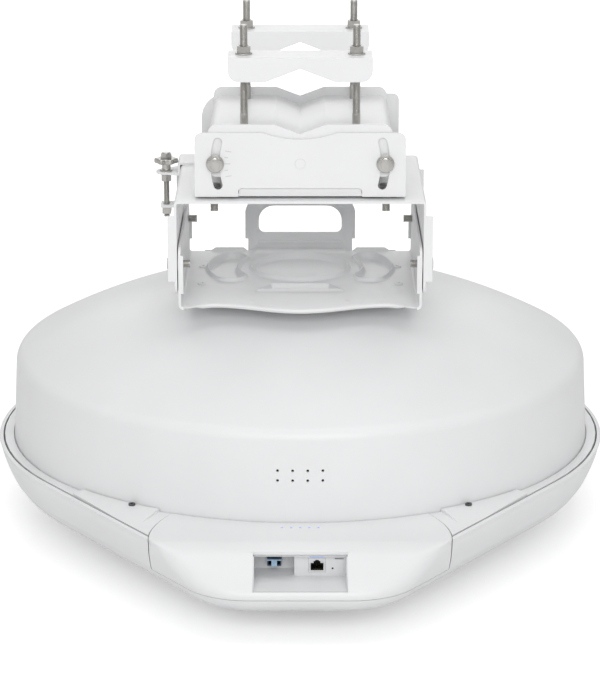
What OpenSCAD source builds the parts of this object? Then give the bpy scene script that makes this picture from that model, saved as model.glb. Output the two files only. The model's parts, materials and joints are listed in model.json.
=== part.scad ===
// Outdoor wireless bridge: a dish antenna with its electronics in a round housing, on a pole mount.
// Z is the dish axis, with the pole mount towards +Z and the radome towards -Z.
// The connector chin is towards -Y, and the pole runs along Y. All sizes are in millimetres.
// The origin is on the dish axis, in the plane of the rear rim.

/* [Antenna head] */
// Radius of the round rim
ring_r = 315; // [312:1:318]
// Gap between the rim's outside and the drum
drum_inset = 15; // [14:0.5:16]
// Height of the drum's straight wall
drum_wall_h = 78; // [70:1:86]
// Height of the dome's middle over the rim plane
dome_top = 165; // [162:0.5:166]
// Thickness of the plastic shells
shell_t = 3; // [2.5:0.1:3.5]
// Pitch of the air holes across and up the drum wall
vent_pitch = [14.3, 9.7];
// Radius of an air hole
vent_r = 1.4; // [1:0.1:2]

/* [Chin] */
// Half width between the seams of the chin cover
chin_half_w = 142.3; // [138:0.1:146]
// Half width of the port recess
bay_half_w = 45; // [43:0.5:48]
// Height of the port recess's floor
bay_floor_z = -31.5; // [-33:0.5:-30]
// Gap at the seams between plastic shells
seam_gap = 0.8; // [0.4:0.1:1.2]

/* [Base bracket] */
// Thickness of the pressed brackets
sheet_t = 2.5; // [2:0.1:3]
// Half width over the two ears
ear_half_w = 119.9; // [118:0.1:120]
// Height of the ears' top edge
ear_top_z = 230; // [226:1:230]
// Height of the floor's top face
floor_z = 169.5; // [169.5:0.5:171]
// Half width of the carry handle
handle_half_w = 58.4; // [54:0.1:62]

/* [Elevation bracket] */
// Height of the top plate's upper face
plate_z = 277; // [276:0.5:278]
// Half width over the side arms
arm_half_w = 123.4; // [123.4:0.1:124]
// Place of the elevation pivot along Y and Z
pivot_yz = [-137, 211];
// Place of the elevation lock bolt along Y and Z
lock_yz = [44, 212];
// Lowest and highest elevation in degrees
elevation_range = [-2.5, 8];

/* [Azimuth bracket] */
// Half width of the front and rear flanges
azimuth_half_w = 103; // [102:0.5:104]
// Height of the azimuth axis
azimuth_z = 312.5; // [312:0.5:313]
// Distance of the azimuth bolts from that axis
azimuth_bolt_r = 83; // [82:0.5:84]
// Angle that the azimuth slots allow each way
azimuth_slot_angle = 15; // [10:1:15]

/* [Pole bracket] */
// Half width of the pole bracket
pole_half_w = 90; // [88:0.5:90]
// Height of the pole bracket's toothed edges
pole_top_z = 350.7; // [349:0.1:352]
// Half width and depth of the notch that the pole rests in
pole_notch = [25, 9.4];

/* [Clamp] */
// Distance of the rods from the middle along X
rod_x = 55; // [53:0.5:57]
// Place of the front and the rear rods along Y
rod_y = [-110, 36];
// Height of the rods' free ends
rod_top_z = 444; // [440:1:460]
// Length, depth and height of a clamp bar
bar_size = [141, 43, 24];
// Height of the clamp bars' top face
bar_top_z = 415; // [405:1:418]

/* [Adjuster] */
// Place of the adjuster screw along X and Y
screw_xy = [-138.9, 24];
// Radius of the knob's star
knob_r = 12.4; // [10:0.1:12.4]

/* [Hidden] */
$fn = 96;

cut = 1;
white_plastic = [0.93, 0.94, 0.95];
white_paint = [0.95, 0.95, 0.95];
steel = [0.66, 0.65, 0.62];
drum_r = ring_r - drum_inset;
wall_top_r = drum_r - 4;
bolt_r = 4;
rod_end_r = 3.7;
hole_r = 4.08;
slot_r = 4.4;
nut_flat = 13;
nut_h = 6.8;
washer_r = 8.4;
washer_t = 1.6;
strap_t = 2.4;
strap_low_z = 265.8;

// ---- Points and rounded outlines ----

function unit(v) = v / norm(v);
function xy(p) = [p[0], p[1]];

// Points of a closed outline whose corners [x, y, radius] are rounded.
function rounded(corners, steps = 6) = [
    for (i = [0 : len(corners) - 1])
        let (
            n = len(corners),
            p = xy(corners[i]),
            r = corners[i][2],
            back = unit(xy(corners[(i + n - 1) % n]) - p),
            ahead = unit(xy(corners[(i + 1) % n]) - p),
            half = acos(back * ahead) / 2,
            centre = p + unit(back + ahead) * r / sin(half),
            from = p + back * r / tan(half) - centre,
            to = p + ahead * r / tan(half) - centre,
            start = atan2(from.y, from.x),
            sweep = (atan2(to.y, to.x) - start + 540) % 360 - 180
        )
        each r == 0 ? [p] : [for (k = [0 : steps]) centre + r * [cos(start + sweep * k / steps),
                                                                sin(start + sweep * k / steps)]]
];

// Outline of a band of thickness t along a path.
function ribbon(path, t) =
    let (
        last = len(path) - 1,
        side = [for (i = [0 : last])
            let (d = unit(path[min(i + 1, last)] - path[max(i - 1, 0)])) [-d.y, d.x] * t / 2]
    )
    concat([for (i = [0 : last]) path[i] + side[i]], [for (i = [last : -1 : 0]) path[i] - side[i]]);

// Outline of an arc-shaped slot about the origin, from its middle radius, half width and end angles.
function arc_slot(reach, half, low, high) = concat(
    [for (k = [0 : 16]) let (a = low + (high - low) * k / 16) (reach + half) * [cos(a), sin(a)]],
    [for (k = [1 : 11]) let (b = high + 15 * k) reach * [cos(high), sin(high)] + half * [cos(b), sin(b)]],
    [for (k = [0 : 16]) let (a = high - (high - low) * k / 16) (reach - half) * [cos(a), sin(a)]],
    [for (k = [1 : 11]) let (b = low + 180 + 15 * k) reach * [cos(low), sin(low)] + half * [cos(b), sin(b)]]
);

// Extrudes an outline drawn in Y and Z along X, from x by depth.
module plate_yz(x, depth) {
    translate([x, 0, 0]) rotate([90, 0, 90]) linear_extrude(depth) children();
}

// Extrudes an outline drawn in X and Z along Y, from y by depth.
module plate_xz(y, depth) {
    translate([0, y + depth, 0]) rotate([90, 0, 0]) linear_extrude(depth) children();
}

// Section of a sheet bent from a flat at height flat_z to a leg at outer_x that ends at leg_z.
module bend_section(outer_x, flat_z, leg_z, r, t) {
    up = leg_z > flat_z ? t : -t;
    polygon(rounded([
        [outer_x - r - 1, flat_z, 0], [outer_x, flat_z, r], [outer_x, leg_z, 0],
        [outer_x - t, leg_z, 0], [outer_x - t, flat_z + up, r - t], [outer_x - r - 1, flat_z + up, 0]
    ]));
}

module both_sides() {
    children();
    mirror([1, 0, 0]) children();
}

module rod_along_x(x, y, z, length, r) {
    translate([x, y, z]) rotate([0, 90, 0]) cylinder(h = length, r = r);
}

module rod_along_y(x, y, z, length, r) {
    translate([x, y, z]) rotate([-90, 0, 0]) cylinder(h = length, r = r);
}

// ---- Fasteners: each stands on the origin and points up +Z, with its thread below ----

module hex(flat, h) {
    cylinder(h = h, r = flat / 2 / cos(30), $fn = 6);
}

module ring(outer, inner, h) {
    difference() {
        cylinder(h = h, r = outer);
        translate([0, 0, -cut]) cylinder(h = h + 2 * cut, r = inner);
    }
}

// Flange bolt: a hexagon on a round flange, with a shank of the given length.
module flange_bolt(length) {
    cylinder(h = 2, r = 8.8);
    translate([0, 0, 1.9]) hex(nut_flat, 5.4);
    translate([0, 0, 7]) cylinder(h = 0.7, r = 5.4);
    translate([0, 0, -length]) cylinder(h = length + cut, r = bolt_r);
}

module nut(h = nut_h, flat = nut_flat, bore = bolt_r + 0.05) {
    difference() {
        hex(flat, h);
        translate([0, 0, -cut]) cylinder(h = h + 2 * cut, r = bore);
    }
}

module pan_screw(head_r, head_h, shank_r, length) {
    difference() {
        cylinder(h = head_h, r = head_r);
        translate([0, 0, head_h / 2]) hex(head_r * 0.8, head_h);
    }
    translate([0, 0, -length]) cylinder(h = length + cut / 2, r = shank_r);
}

// ---- Outline of the head: a circle drawn out by two tangents to the flat front of the chin ----

tangent_angle = 35.8;
// Each level of the head's outside: height, radius of the circle, front of the chin, corner radius.
head_levels = [
    [0, ring_r, -350, 15], [-5, ring_r - 0.4, -365, 30], [-12, ring_r - 1.6, -374.3, 45],
    [-21, ring_r - 4.6, -386, 60], [bay_floor_z, ring_r - 9, -400, 70], [-40, ring_r - 13.5, -400, 70],
    [-52, ring_r - 24, -389, 70], [-63, ring_r - 45, -366, 60], [-72, ring_r - 79, -325, 50],
    [-79, ring_r - 130, -262, 40], [-84, ring_r - 205, -170, 15], [-86.5, ring_r - 275, -60, 5]
];

// Distance from the middle at which the tangent of a circle of radius r meets the line y.
function tangent_x(r, y) = (r + y * sin(tangent_angle)) / cos(tangent_angle);

function head_outline(r, chin_y, corner) = rounded(concat(
    [for (a = [-tangent_angle : 5.032 : 180.1 + tangent_angle]) [r * cos(a), r * sin(a), 0]],
    [[-tangent_x(r, chin_y), chin_y, corner], [tangent_x(r, chin_y), chin_y, corner]]
), 5);

// Solid of the whole head below the rim, moved inwards by inset and cut open at the top.
module head_solid(inset) {
    hull() for (level = head_levels) {
        lift = level[0] == 0 && inset > 0 ? cut : inset * min(1, -level[0] / 80);
        translate([0, 0, level[0] + lift])
            linear_extrude(0.01)
                polygon(head_outline(level[1] - inset, level[2] + inset, level[3]));
    }
}

module head_shell() {
    difference() {
        head_solid(0);
        head_solid(shell_t);
    }
}

// Plan of the chin cover, made smaller by gap at its seams, which curve inwards near the drum.
module chin_plan(gap) {
    seam = chin_half_w - gap;
    right = concat([for (k = [9 : -1 : 0]) [seam - 23 * pow(k / 6, 2), -341 + 12 * k]], [[seam, -420]]);
    polygon(concat([for (i = [len(right) - 1 : -1 : 0]) [-right[i].x, right[i].y]], right));
}

// ---- Antenna head: shells ----

dome_edge_r = 15;
dome_r = (pow(dome_edge_r, 2) - pow(wall_top_r - dome_edge_r, 2) - pow(drum_wall_h - dome_top, 2))
         / (2 * (drum_wall_h - dome_top + dome_edge_r));

// Height of the drum's dome at distance r from the axis.
function dome_z(r) = dome_top - dome_r + sqrt(dome_r * dome_r - r * r);

// Half section of the drum, moved inwards by inset: a slightly tapered wall and a round-edged dome.
function drum_section(inset) =
    let (
        corner = [wall_top_r - dome_edge_r, drum_wall_h],
        tip = atan2(drum_wall_h - dome_top + dome_r, corner.x),
        foot_z = inset > 0 ? -6 - cut : -6
    )
    concat(
        [[0, foot_z], [drum_r - inset, foot_z], [drum_r - inset, 0]],
        [for (k = [0 : 5]) corner + (dome_edge_r - inset) * [cos(tip * k / 6), sin(tip * k / 6)]],
        [for (k = [0 : 11]) let (a = tip + (90 - tip) * k / 12)
            [(dome_r - inset) * cos(a), dome_top - dome_r + (dome_r - inset) * sin(a)]],
        [[0, dome_top - inset]]
    );

base_screw_places = [for (side = [-1, 1]) each [[side * 101, 5], [side * 100, -62]]];
board_post_places = [for (x = [-66, 66], y = [-46, 46]) [x, y]];
frame_screw_angles = [237.9, 302.1, 25, 65, 115, 155];
frame_screw_r = drum_r + 5.5;
pad_angles = [225.2, 243.3];
reflector_screw_angles = [0, 60, 120, 180, 240, 300];
reflector_screw_r = 289;
flange_top = -3.5;

module rear_housing() {
    color(white_plastic) difference() {
        union() {
            difference() {
                rotate_extrude($fn = 180) polygon(drum_section(0));
                rotate_extrude($fn = 180) polygon(drum_section(shell_t));
            }
            translate([0, 0, -6]) ring(drum_r + 9, drum_r - shell_t, flange_top + 6);
            translate([0, 0, dome_top - 3.5]) cylinder(h = floor_z - sheet_t - dome_top + 3.5, r = 44);
            for (p = base_screw_places)
                translate([p.x, p.y, dome_z(norm(p)) - 2.5])
                    cylinder(h = floor_z - sheet_t - dome_z(norm(p)) + 2.5, r = 6.5);
            for (p = board_post_places)
                translate([p.x, p.y, 140.2]) cylinder(h = dome_z(norm(p)) - 141, r = 4);
            for (a = reflector_screw_angles)
                rotate(a) translate([reflector_screw_r, -5, -11.3]) cube([9, 10, 24]);
        }
        for (p = base_screw_places)
            translate([p.x, p.y, floor_z - sheet_t - 12]) cylinder(h = 13, r = 2.55);
        for (p = board_post_places) translate([p.x, p.y, 139]) cylinder(h = 9, r = 1.55);
        for (a = reflector_screw_angles)
            rotate(a) translate([reflector_screw_r + 2.5, 0, -12]) cylinder(h = 19, r = 1.55);
        for (a = frame_screw_angles) rotate(a) translate([frame_screw_r, 0, -7]) cylinder(h = 5, r = 1.55);
        for (i = [-1.5 : 1.5], k = [0, 1])
            rod_along_y(i * vent_pitch.x, -drum_r - 5, 41.1 + k * vent_pitch.y, 20, vent_r);
    }
}

// Flat ring behind the rim, with the deck beside the chin cover and two raised, sloping screw pads.
module rear_frame() {
    color(white_plastic) difference() {
        union() {
            difference() {
                translate([0, 0, flange_top]) linear_extrude(-0.5 - flange_top)
                    polygon(head_outline(ring_r - 4.6, -346, 15));
                translate([0, 0, flange_top - cut]) linear_extrude(10) chin_plan(-seam_gap);
            }
            both_sides() intersection() {
                rotate_extrude() polygon([
                    [drum_r, flange_top], [drum_r, 2.5], [drum_r + 9.5, 2.5],
                    [drum_r + 34, -0.5], [drum_r + 34, flange_top]
                ]);
                translate([0, 0, flange_top]) linear_extrude(8) intersection() {
                    polygon(head_outline(ring_r - 4.6, -346, 15));
                    polygon([[0, 0], 700 * [cos(pad_angles[0]), sin(pad_angles[0])],
                             700 * [cos(pad_angles[1]), sin(pad_angles[1])]]);
                }
            }
        }
        translate([0, 0, -10]) cylinder(h = 20, r = drum_r + 1.2, $fn = 180);
        for (a = frame_screw_angles) rotate(a) translate([frame_screw_r, 0, -7]) cylinder(h = 15, r = 1.9);
    }
}

module frame_screws() {
    color([0.35, 0.36, 0.37]) for (i = [0 : len(frame_screw_angles) - 1])
        rotate(frame_screw_angles[i]) translate([frame_screw_r, 0, i < 2 ? 2.5 : -0.5])
            pan_screw(3.3, 1.8, 1.5, i < 2 ? 8.4 : 5.4);
}

// Soft seal in the groove between the rim and the frame.
module rim_seal() {
    color([0.45, 0.46, 0.47]) translate([0, 0, -5]) linear_extrude(3.4) difference() {
        polygon(head_outline(ring_r - shell_t - 0.6, -351, 15));
        polygon(head_outline(ring_r - 4.4, -346.2, 15));
        chin_plan(-seam_gap);
    }
}

module front_radome() {
    color(white_plastic) difference() {
        head_shell();
        translate([0, 0, -39.6]) linear_extrude(60) chin_plan(-seam_gap / 2);
    }
}

// Cover over the chin: the sloping face with the port opening, and the deck behind it.
module chin_cover() {
    color(white_plastic) difference() {
        union() {
            intersection() {
                head_shell();
                translate([0, 0, -39.2]) linear_extrude(60) chin_plan(seam_gap / 2);
            }
            intersection() {
                translate([0, 0, -3]) linear_extrude(3) polygon(head_outline(ring_r - 0.5, -350.5, 15));
                translate([0, 0, -5]) linear_extrude(10) chin_plan(seam_gap / 2);
            }
            // Thicker edge where the deck turns down into the sloping face.
            plate_yz(-118, 236)
                polygon([[-345, -3], [-364.8, -8.2], [-364.8, -5.4], [-350.5, -0.5], [-345, -0.5]]);
        }
        translate([0, 0, -10]) cylinder(h = 20, r = drum_r + 1.2, $fn = 180);
        translate([-bay_half_w, -420, bay_floor_z]) cube([2 * bay_half_w, 55, 60]);
        for (i = [-2 : 2]) translate([i * led_pitch, led_y, -5]) cylinder(h = 10, r = led_r + 0.1, $fn = 32);
    }
}

// ---- Antenna head: ports in the chin ----

led_pitch = 8.6;
led_y = -313.9;
led_r = 1.1;
bay_back_y = -357;
bay_deep_y = -337;
bay_roof_z = -8.6;
bay_front_y = -396.8;
bay_wall = 2;
jack_x = [7.7, 23.7];
jack_z = [-27.8, -14.4];
light_x = [8.8, 22.2];
light_z = [-12.9, -9.9];
cage_x = [-31.3, -17.4];
cage_z = [-28.4, -19.4];
button_place = [30.2, -24.4];
card_slot = [32.2, -15.3, 8.4, 1];

module port_bay() {
    half = bay_half_w - 0.1;
    back = bay_deep_y + bay_wall;
    wall_h = bay_roof_z - bay_floor_z;
    color([0.86, 0.87, 0.88]) difference() {
        union() {
            translate([-half, bay_front_y, bay_floor_z - bay_wall])
                cube([2 * half, back - bay_front_y, bay_wall]);
            translate([-half, -364.5, bay_roof_z - 1]) cube([2 * half, back + 364.5, 1]);
            both_sides() plate_yz(half - bay_wall, bay_wall)
                polygon([[bay_front_y, bay_floor_z - 0.5], [-369, bay_roof_z], [back, bay_roof_z],
                         [back, bay_floor_z - 0.5]]);
            translate([-4, bay_back_y, bay_floor_z - 0.5]) cube([half + 4, bay_wall, wall_h + 0.4]);
            translate([-half, bay_deep_y, bay_floor_z - 0.5]) cube([half - 4, bay_wall, wall_h + 0.4]);
            translate([-5.5, bay_back_y, bay_floor_z - 0.5])
                cube([bay_wall, back - bay_back_y, wall_h + 0.4]);
        }
        box_cut(jack_x, jack_z, bay_back_y, 0.1);
        box_cut(light_x, light_z, bay_back_y, 0.1);
        box_cut(cage_x, cage_z, bay_deep_y, 0.1);
        translate([card_slot[0], bay_back_y - cut, card_slot[1]]) cube([card_slot[2], 4, card_slot[3]]);
        rod_along_y(button_place.x, bay_back_y - cut, button_place.y, 4, 1);
    }
}

// Cuts a window of the given spans of X and Z, made larger by gap, through a wall that starts at y.
module box_cut(x, z, y, gap) {
    translate([x[0] - gap, y - cut, z[0] - gap])
        cube([x[1] - x[0] + 2 * gap, bay_wall + 2 * cut, z[1] - z[0] + 2 * gap]);
}

board_z = -30.4;

module port_board() {
    color([0.05, 0.3, 0.16]) difference() {
        union() {
            translate([-42, -334.6, board_z]) cube([86, 26, 1.6]);
            translate([-2, -354.6, board_z]) cube([44, 21, 1.6]);
        }
        for (x = [-38, 40]) translate([x, -313, board_z - cut]) cylinder(h = 4, r = 1.6);
    }
}

// Shielded jack, open at its front, with a keyway for the plug's latch at the top.
module rj45_jack() {
    front = bay_back_y - 0.4;
    mid = (jack_x[0] + jack_x[1]) / 2;
    color([0.75, 0.76, 0.78]) difference() {
        translate([jack_x[0], front, jack_z[0]]) cube([16, 21.5, 13.4]);
        translate([mid - 5.95, front - cut, jack_z[0] + 1.7]) cube([11.9, 15, 7.2]);
        translate([mid - 3.1, front - cut, jack_z[0] + 8]) cube([6.2, 15, 2.9]);
        translate([mid - 1.6, front - cut, jack_z[0] + 10]) cube([3.2, 15, 2]);
    }
}

module rj45_contacts() {
    mid = (jack_x[0] + jack_x[1]) / 2;
    color([0.85, 0.68, 0.3]) for (i = [-3.5 : 3.5])
        plate_yz(mid + i * 1.02 - 0.2, 0.4)
            polygon([[-354, jack_z[0] + 1.71], [-344, jack_z[0] + 4.6], [-344, jack_z[0] + 5],
                     [-354.6, jack_z[0] + 2.1], [-354.6, jack_z[0] + 1.71]]);
}

module rj45_light() {
    color([0.72, 0.83, 0.97]) translate([light_x[0], bay_back_y - 0.6, light_z[0]])
        cube([light_x[1] - light_x[0], 8, light_z[1] - light_z[0]]);
}

module sfp_cage() {
    size = [cage_x[1] - cage_x[0], 27, cage_z[1] - cage_z[0]];
    color([0.6, 0.62, 0.65]) difference() {
        translate([cage_x[0], bay_deep_y - 1.5, cage_z[0]]) cube(size);
        translate([cage_x[0] + 0.3, bay_deep_y - 2.5, cage_z[0] + 0.3])
            cube([size.x - 0.6, 27.6, size.z - 0.6]);
    }
}

module sfp_module() {
    color([0.12, 0.2, 0.36]) difference() {
        translate([cage_x[0] + 0.4, bay_deep_y - 4, cage_z[0] + 0.4])
            cube([cage_x[1] - cage_x[0] - 0.8, 28, cage_z[1] - cage_z[0] - 0.8]);
        for (x = [cage_x[0] + 1.5, cage_x[0] + 7.5])
            translate([x, bay_deep_y - 5, cage_z[0] + 1.6]) cube([4.9, 14, 4.2]);
        rod_along_x(cage_x[0] - 1, bay_deep_y - 2.7, cage_z[1] - 1.6, 20, 0.6);
    }
}

// Bail that frees the module when its pull tab is swung outwards. Its arms lie beside the module.
module sfp_bail() {
    outer = 0.2;
    left = cage_x[0] - outer;
    span = cage_x[1] - cage_x[0] + 2 * outer;
    y = bay_deep_y - 2.7;
    z = cage_z[1] - 1.6;
    color([0.55, 0.68, 0.86]) {
        rod_along_x(left + 0.1, y, z, span - 0.2, 0.52);
        for (x = [left, left + span - 0.5]) translate([x, y - 4.2, z - 0.5]) cube([0.5, 4.8, 1]);
        translate([left, y - 5, z - 0.5]) cube([span, 0.9, 1]);
        translate([left + span / 2 - 2.6, y - 5, z - 6.3]) cube([5.2, 0.9, 6]);
    }
}

module reset_button() {
    color([0.3, 0.3, 0.32]) {
        rod_along_y(button_place.x, bay_back_y + 0.6, button_place.y, 3.4, 0.9);
        translate([button_place.x - 2, bay_back_y + 3, button_place.y - 2]) cube([4, 3, 4]);
    }
}

module status_lights() {
    color([0.62, 0.66, 0.95]) for (i = [-2 : 2])
        translate([i * led_pitch, led_y, -19]) cylinder(h = 19.15, r = led_r, $fn = 32);
}

// Flat cable from the port board, past the edge of the reflector, to the main board.
module port_cable() {
    path = [[-316, -27.9], [-298, -27.9], [-290.5, -20], [-289.5, -4], [-280, 40], [-250, 88],
            [-170, 129], [-90, 144], [-60, 141], [-43, 140.9]];
    color([0.25, 0.26, 0.28]) plate_yz(-45, 12) polygon(ribbon(path, 1.2));
}

module vent_membrane() {
    color([0.3, 0.31, 0.32]) intersection() {
        translate([0, 0, 32]) ring(drum_r - 6.3, drum_r - 7.3, 28);
        translate([-30, -320, 30]) cube([60, 60, 40]);
    }
}

// ---- Antenna head: reflector, feed and electronics ----

dish_r = 285;
dish_vertex_z = 118;
dish_depth = 131;
function dish_z(r) = dish_vertex_z - dish_depth * pow(r / dish_r, 2);

module main_reflector() {
    t = 1.6;
    radii = [22, each [for (r = [45 : 24 : 261]) r], dish_r];
    color([0.78, 0.79, 0.8]) difference() {
        rotate_extrude($fn = 180) polygon(concat(
            [for (r = radii) [r, dish_z(r)]],
            [[dish_r + 9, dish_z(dish_r)], [dish_r + 9, dish_z(dish_r) + t]],
            [[dish_r - 1, dish_z(dish_r) + t]],
            [for (i = [len(radii) - 2 : -1 : 0]) [radii[i], dish_z(radii[i]) + t]]
        ));
        for (a = reflector_screw_angles)
            rotate(a) translate([reflector_screw_r + 2.5, 0, dish_z(dish_r) - 1]) cylinder(h = 5, r = 1.7);
        translate([-48, -dish_r - 12, dish_z(dish_r) - 1]) cube([18, 13.5, 5]);
    }
}

module reflector_screws() {
    color(steel) for (a = reflector_screw_angles)
        rotate(a) translate([reflector_screw_r + 2.5, 0, dish_z(dish_r)]) mirror([0, 0, 1])
            pan_screw(3, 1.8, 1.5, 18);
}

module feed_tube() {
    color(steel) difference() {
        union() {
            translate([0, 0, -14]) cylinder(h = 138, r = 9);
            translate([0, 0, 120.2]) cylinder(h = 3.8, r = 26);
        }
        translate([0, 0, -15]) cylinder(h = 141, r = 6.5);
    }
}

module feed_cone() {
    color([0.92, 0.91, 0.87]) translate([0, 0, -36]) {
        cylinder(h = 21.8, r1 = 30, r2 = 9);
        translate([0, 0, 21.6]) cylinder(h = 10, r = 6.4);
    }
}

module subreflector() {
    color([0.8, 0.81, 0.82]) translate([0, 0, -40]) difference() {
        cylinder(h = 3.9, r = 31);
        translate([0, 0, -cut]) cylinder(h = 2.5, r = 27);
    }
}

module rf_module() {
    color([0.62, 0.63, 0.65]) translate([0, 0, 124.1]) {
        translate([-42, -32, 0]) cube([84, 64, 13]);
        for (y = [-22 : 11 : 22]) translate([-38, y - 1, 12.9]) cube([76, 2, 1.2]);
    }
}

module main_board() {
    color([0.05, 0.3, 0.16]) difference() {
        translate([-72, -52, 138.5]) cube([144, 104, 1.6]);
        for (p = board_post_places) translate([p.x, p.y, 137]) cylinder(h = 5, r = 1.7);
    }
}

module board_screws() {
    color(steel) for (p = board_post_places)
        translate([p.x, p.y, 138.45]) mirror([0, 0, 1]) pan_screw(2.8, 1.8, 1.5, 9);
}

module shield_cans() {
    color([0.78, 0.79, 0.8]) {
        translate([-48, -38, 140.15]) cube([40, 34, 3.8]);
        translate([4, -38, 140.15]) cube([46, 34, 3.8]);
        translate([-20, 6, 140.15]) cube([56, 32, 3.8]);
    }
}

module thermal_pad() {
    color([0.55, 0.62, 0.75]) translate([-50, -40, 144]) cube([100, 80, 1]);
}

module heat_sink() {
    color([0.7, 0.71, 0.72]) {
        translate([-54, -42, 145.05]) cube([108, 84, 3]);
        for (x = [-53 : 7.5 : 52]) translate([x, -42, 148]) cube([1.6, 84, 6]);
    }
}

// ---- Base bracket: a pressed plate with two ears and a carry handle bent up from it ----

ear_front_y = -150;
ear_rear_y = 72;
lip = 5;
handle_y = 78;

// Raised rim around an arc-shaped pad of the given middle radius, width and half angle.
module pressed_pad(mid_r, width, half_angle, wall, h) {
    linear_extrude(h) difference() {
        polygon(arc_slot(mid_r, width / 2, -half_angle, half_angle));
        polygon(arc_slot(mid_r, width / 2 - wall, -half_angle, half_angle));
    }
}

// Front edge of the floor, from one side to the other.
floor_front = [
    [-100, -137], [-84, -135], [-72, -138], [-58, -143], [-40, -150], [-20, -155.5], [0, -157.5],
    [20, -155.5], [40, -150], [58, -143], [72, -138], [84, -135], [100, -137]
];

module base_floor_plan() {
    w = ear_half_w - 5;
    polygon(concat(
        [[-w, ear_front_y + 3]], floor_front, [[w, ear_front_y + 3], [w, 70], [100, 76], [52, 75]],
        [[52, handle_y], [-52, handle_y], [-52, 75], [-100, 76], [-w, 70]]
    ));
}

module base_floor() {
    translate([0, 0, floor_z - sheet_t]) linear_extrude(sheet_t) base_floor_plan();
    // Turned-down lip along the front edge.
    translate([0, 0, floor_z - 4.2]) linear_extrude(4.2)
        polygon(concat(floor_front, [for (i = [len(floor_front) - 1 : -1 : 0]) floor_front[i] + [0, 2.2]]));
    translate([0, 0, floor_z - 0.01]) {
        rotate_extrude() polygon([[45, 0], [46.5, 2.6], [51, 2.6], [54, 0]]);
        for (turn = [0, 180]) rotate(turn) pressed_pad(80, 33, 27, 3, 2.4);
        linear_extrude(1.8) difference() {
            polygon(rounded([[-44, -90, 3], [44, -90, 3], [31, -65, 6], [-31, -65, 6]]));
            polygon(rounded([[-37, -87, 2], [37, -87, 2], [28, -69, 4], [-28, -69, 4]]));
        }
    }
}

// One ear with its bend, its front and rear lips and its two bolt holes, on the +X side.
module ear() {
    inner = ear_half_w - sheet_t;
    difference() {
        union() {
            intersection() {
                plate_xz(ear_front_y, ear_rear_y - ear_front_y)
                    bend_section(ear_half_w, floor_z - sheet_t, ear_top_z, 5, sheet_t);
                plate_yz(0, 200) polygon(rounded([
                    [ear_front_y, 150, 0], [ear_rear_y, 150, 0],
                    [ear_rear_y, ear_top_z, 24], [ear_front_y, ear_top_z, 8]
                ]));
            }
            translate([ear_half_w - lip, ear_front_y, floor_z + 14])
                cube([lip - 0.5, sheet_t, ear_top_z - 8 - floor_z - 14]);
            translate([ear_half_w - lip, ear_rear_y - sheet_t, floor_z + 14])
                cube([lip - 0.5, sheet_t, ear_top_z - 24 - floor_z - 14]);
        }
        for (p = [pivot_yz, lock_yz]) rod_along_x(inner - cut, p.x, p.y, sheet_t + 2 * cut, bolt_r + 0.03);
    }
}

// Carry handle across the rear edge, with a hand opening and turned-back edges.
module handle() {
    neck = handle_half_w - 3;
    top = 227;
    plate_xz(handle_y - sheet_t, sheet_t) difference() {
        polygon(rounded([
            [-neck, floor_z - sheet_t, 0], [neck, floor_z - sheet_t, 0], [neck, 182, 0],
            [handle_half_w, 182, 0], [handle_half_w, top, 17], [-handle_half_w, top, 17],
            [-handle_half_w, 182, 0], [-neck, 182, 0]
        ]));
        polygon(rounded([[-44, 189, 6], [44, 189, 6], [44, 218, 16], [-44, 218, 16]]));
    }
    both_sides() translate([handle_half_w - sheet_t, handle_y - sheet_t, 182]) cube([sheet_t, lip + 2, 30]);
    translate([-44, handle_y - sheet_t - 1.2, 177]) cube([88, 1.3, 3]);
}

// Tab bent out of the left ear's top edge, slotted for the adjuster screw.
module adjuster_lug() {
    z = ear_top_z + 0.6;
    length = sheet_t - ear_half_w - screw_xy.x + 6;
    difference() {
        union() {
            translate([screw_xy.x - 6, screw_xy.y - 9.5, z]) cube([length, 21, sheet_t]);
            translate([-ear_half_w, screw_xy.y - 9.5, ear_top_z - 6]) cube([sheet_t, 21, 7]);
        }
        screw_slot(z - cut, sheet_t + 2 * cut);
    }
}

// Long hole for the adjuster screw, from z up by h, which lets the lug swing past the upright screw.
module screw_slot(z, h) {
    for (y = [-1.2, 5.2]) translate([screw_xy.x, screw_xy.y + y, z]) cylinder(h = h, r = 3.4);
    translate([screw_xy.x - 3.4, screw_xy.y - 1.2, z]) cube([6.8, 6.4, h]);
}

module base_bracket() {
    color(white_paint) {
        difference() {
            base_floor();
            for (p = base_screw_places) translate([p.x, p.y, floor_z - 5]) cylinder(h = 10, r = 2.8);
            for (side = [-1, 1]) translate([side * 47, -122, floor_z - 5]) cylinder(h = 10, r = 1.5);
        }
        both_sides() ear();
        handle();
        adjuster_lug();
    }
}

module base_screws() {
    color(white_paint) for (p = base_screw_places) translate([p.x, p.y, floor_z])
        pan_screw(4.2, 1.6, 2.5, 10);
}

module side_bolts(place) {
    color(steel) both_sides() translate([arm_half_w + 0.05, place.x, place.y]) rotate([0, 90, 0])
        flange_bolt(arm_half_w - 108.5);
}

module pivot_bolts() {
    side_bolts(pivot_yz);
}

module lock_bolts() {
    side_bolts(lock_yz);
}

// Thin plastic washers between the ears and the arms.
module arm_washers() {
    color([0.9, 0.9, 0.88]) both_sides() for (p = [pivot_yz, lock_yz])
        translate([ear_half_w + 0.02, p.x, p.y]) rotate([0, 90, 0]) ring(9, bolt_r + 0.1, arm_gap - 0.04);
}

// Nut block under the lug. Its thread is a long hole that leaves room for the swing.
module adjuster_block() {
    color(steel) difference() {
        translate([screw_xy.x - 4.4, screw_xy.y - 6.5, ear_top_z - 6.6]) cube([8.8, 17, 7.2]);
        screw_slot(ear_top_z - 8, 10);
    }
}

// ---- Elevation bracket: a top plate with two arms that hold the base bracket's ears ----

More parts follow.
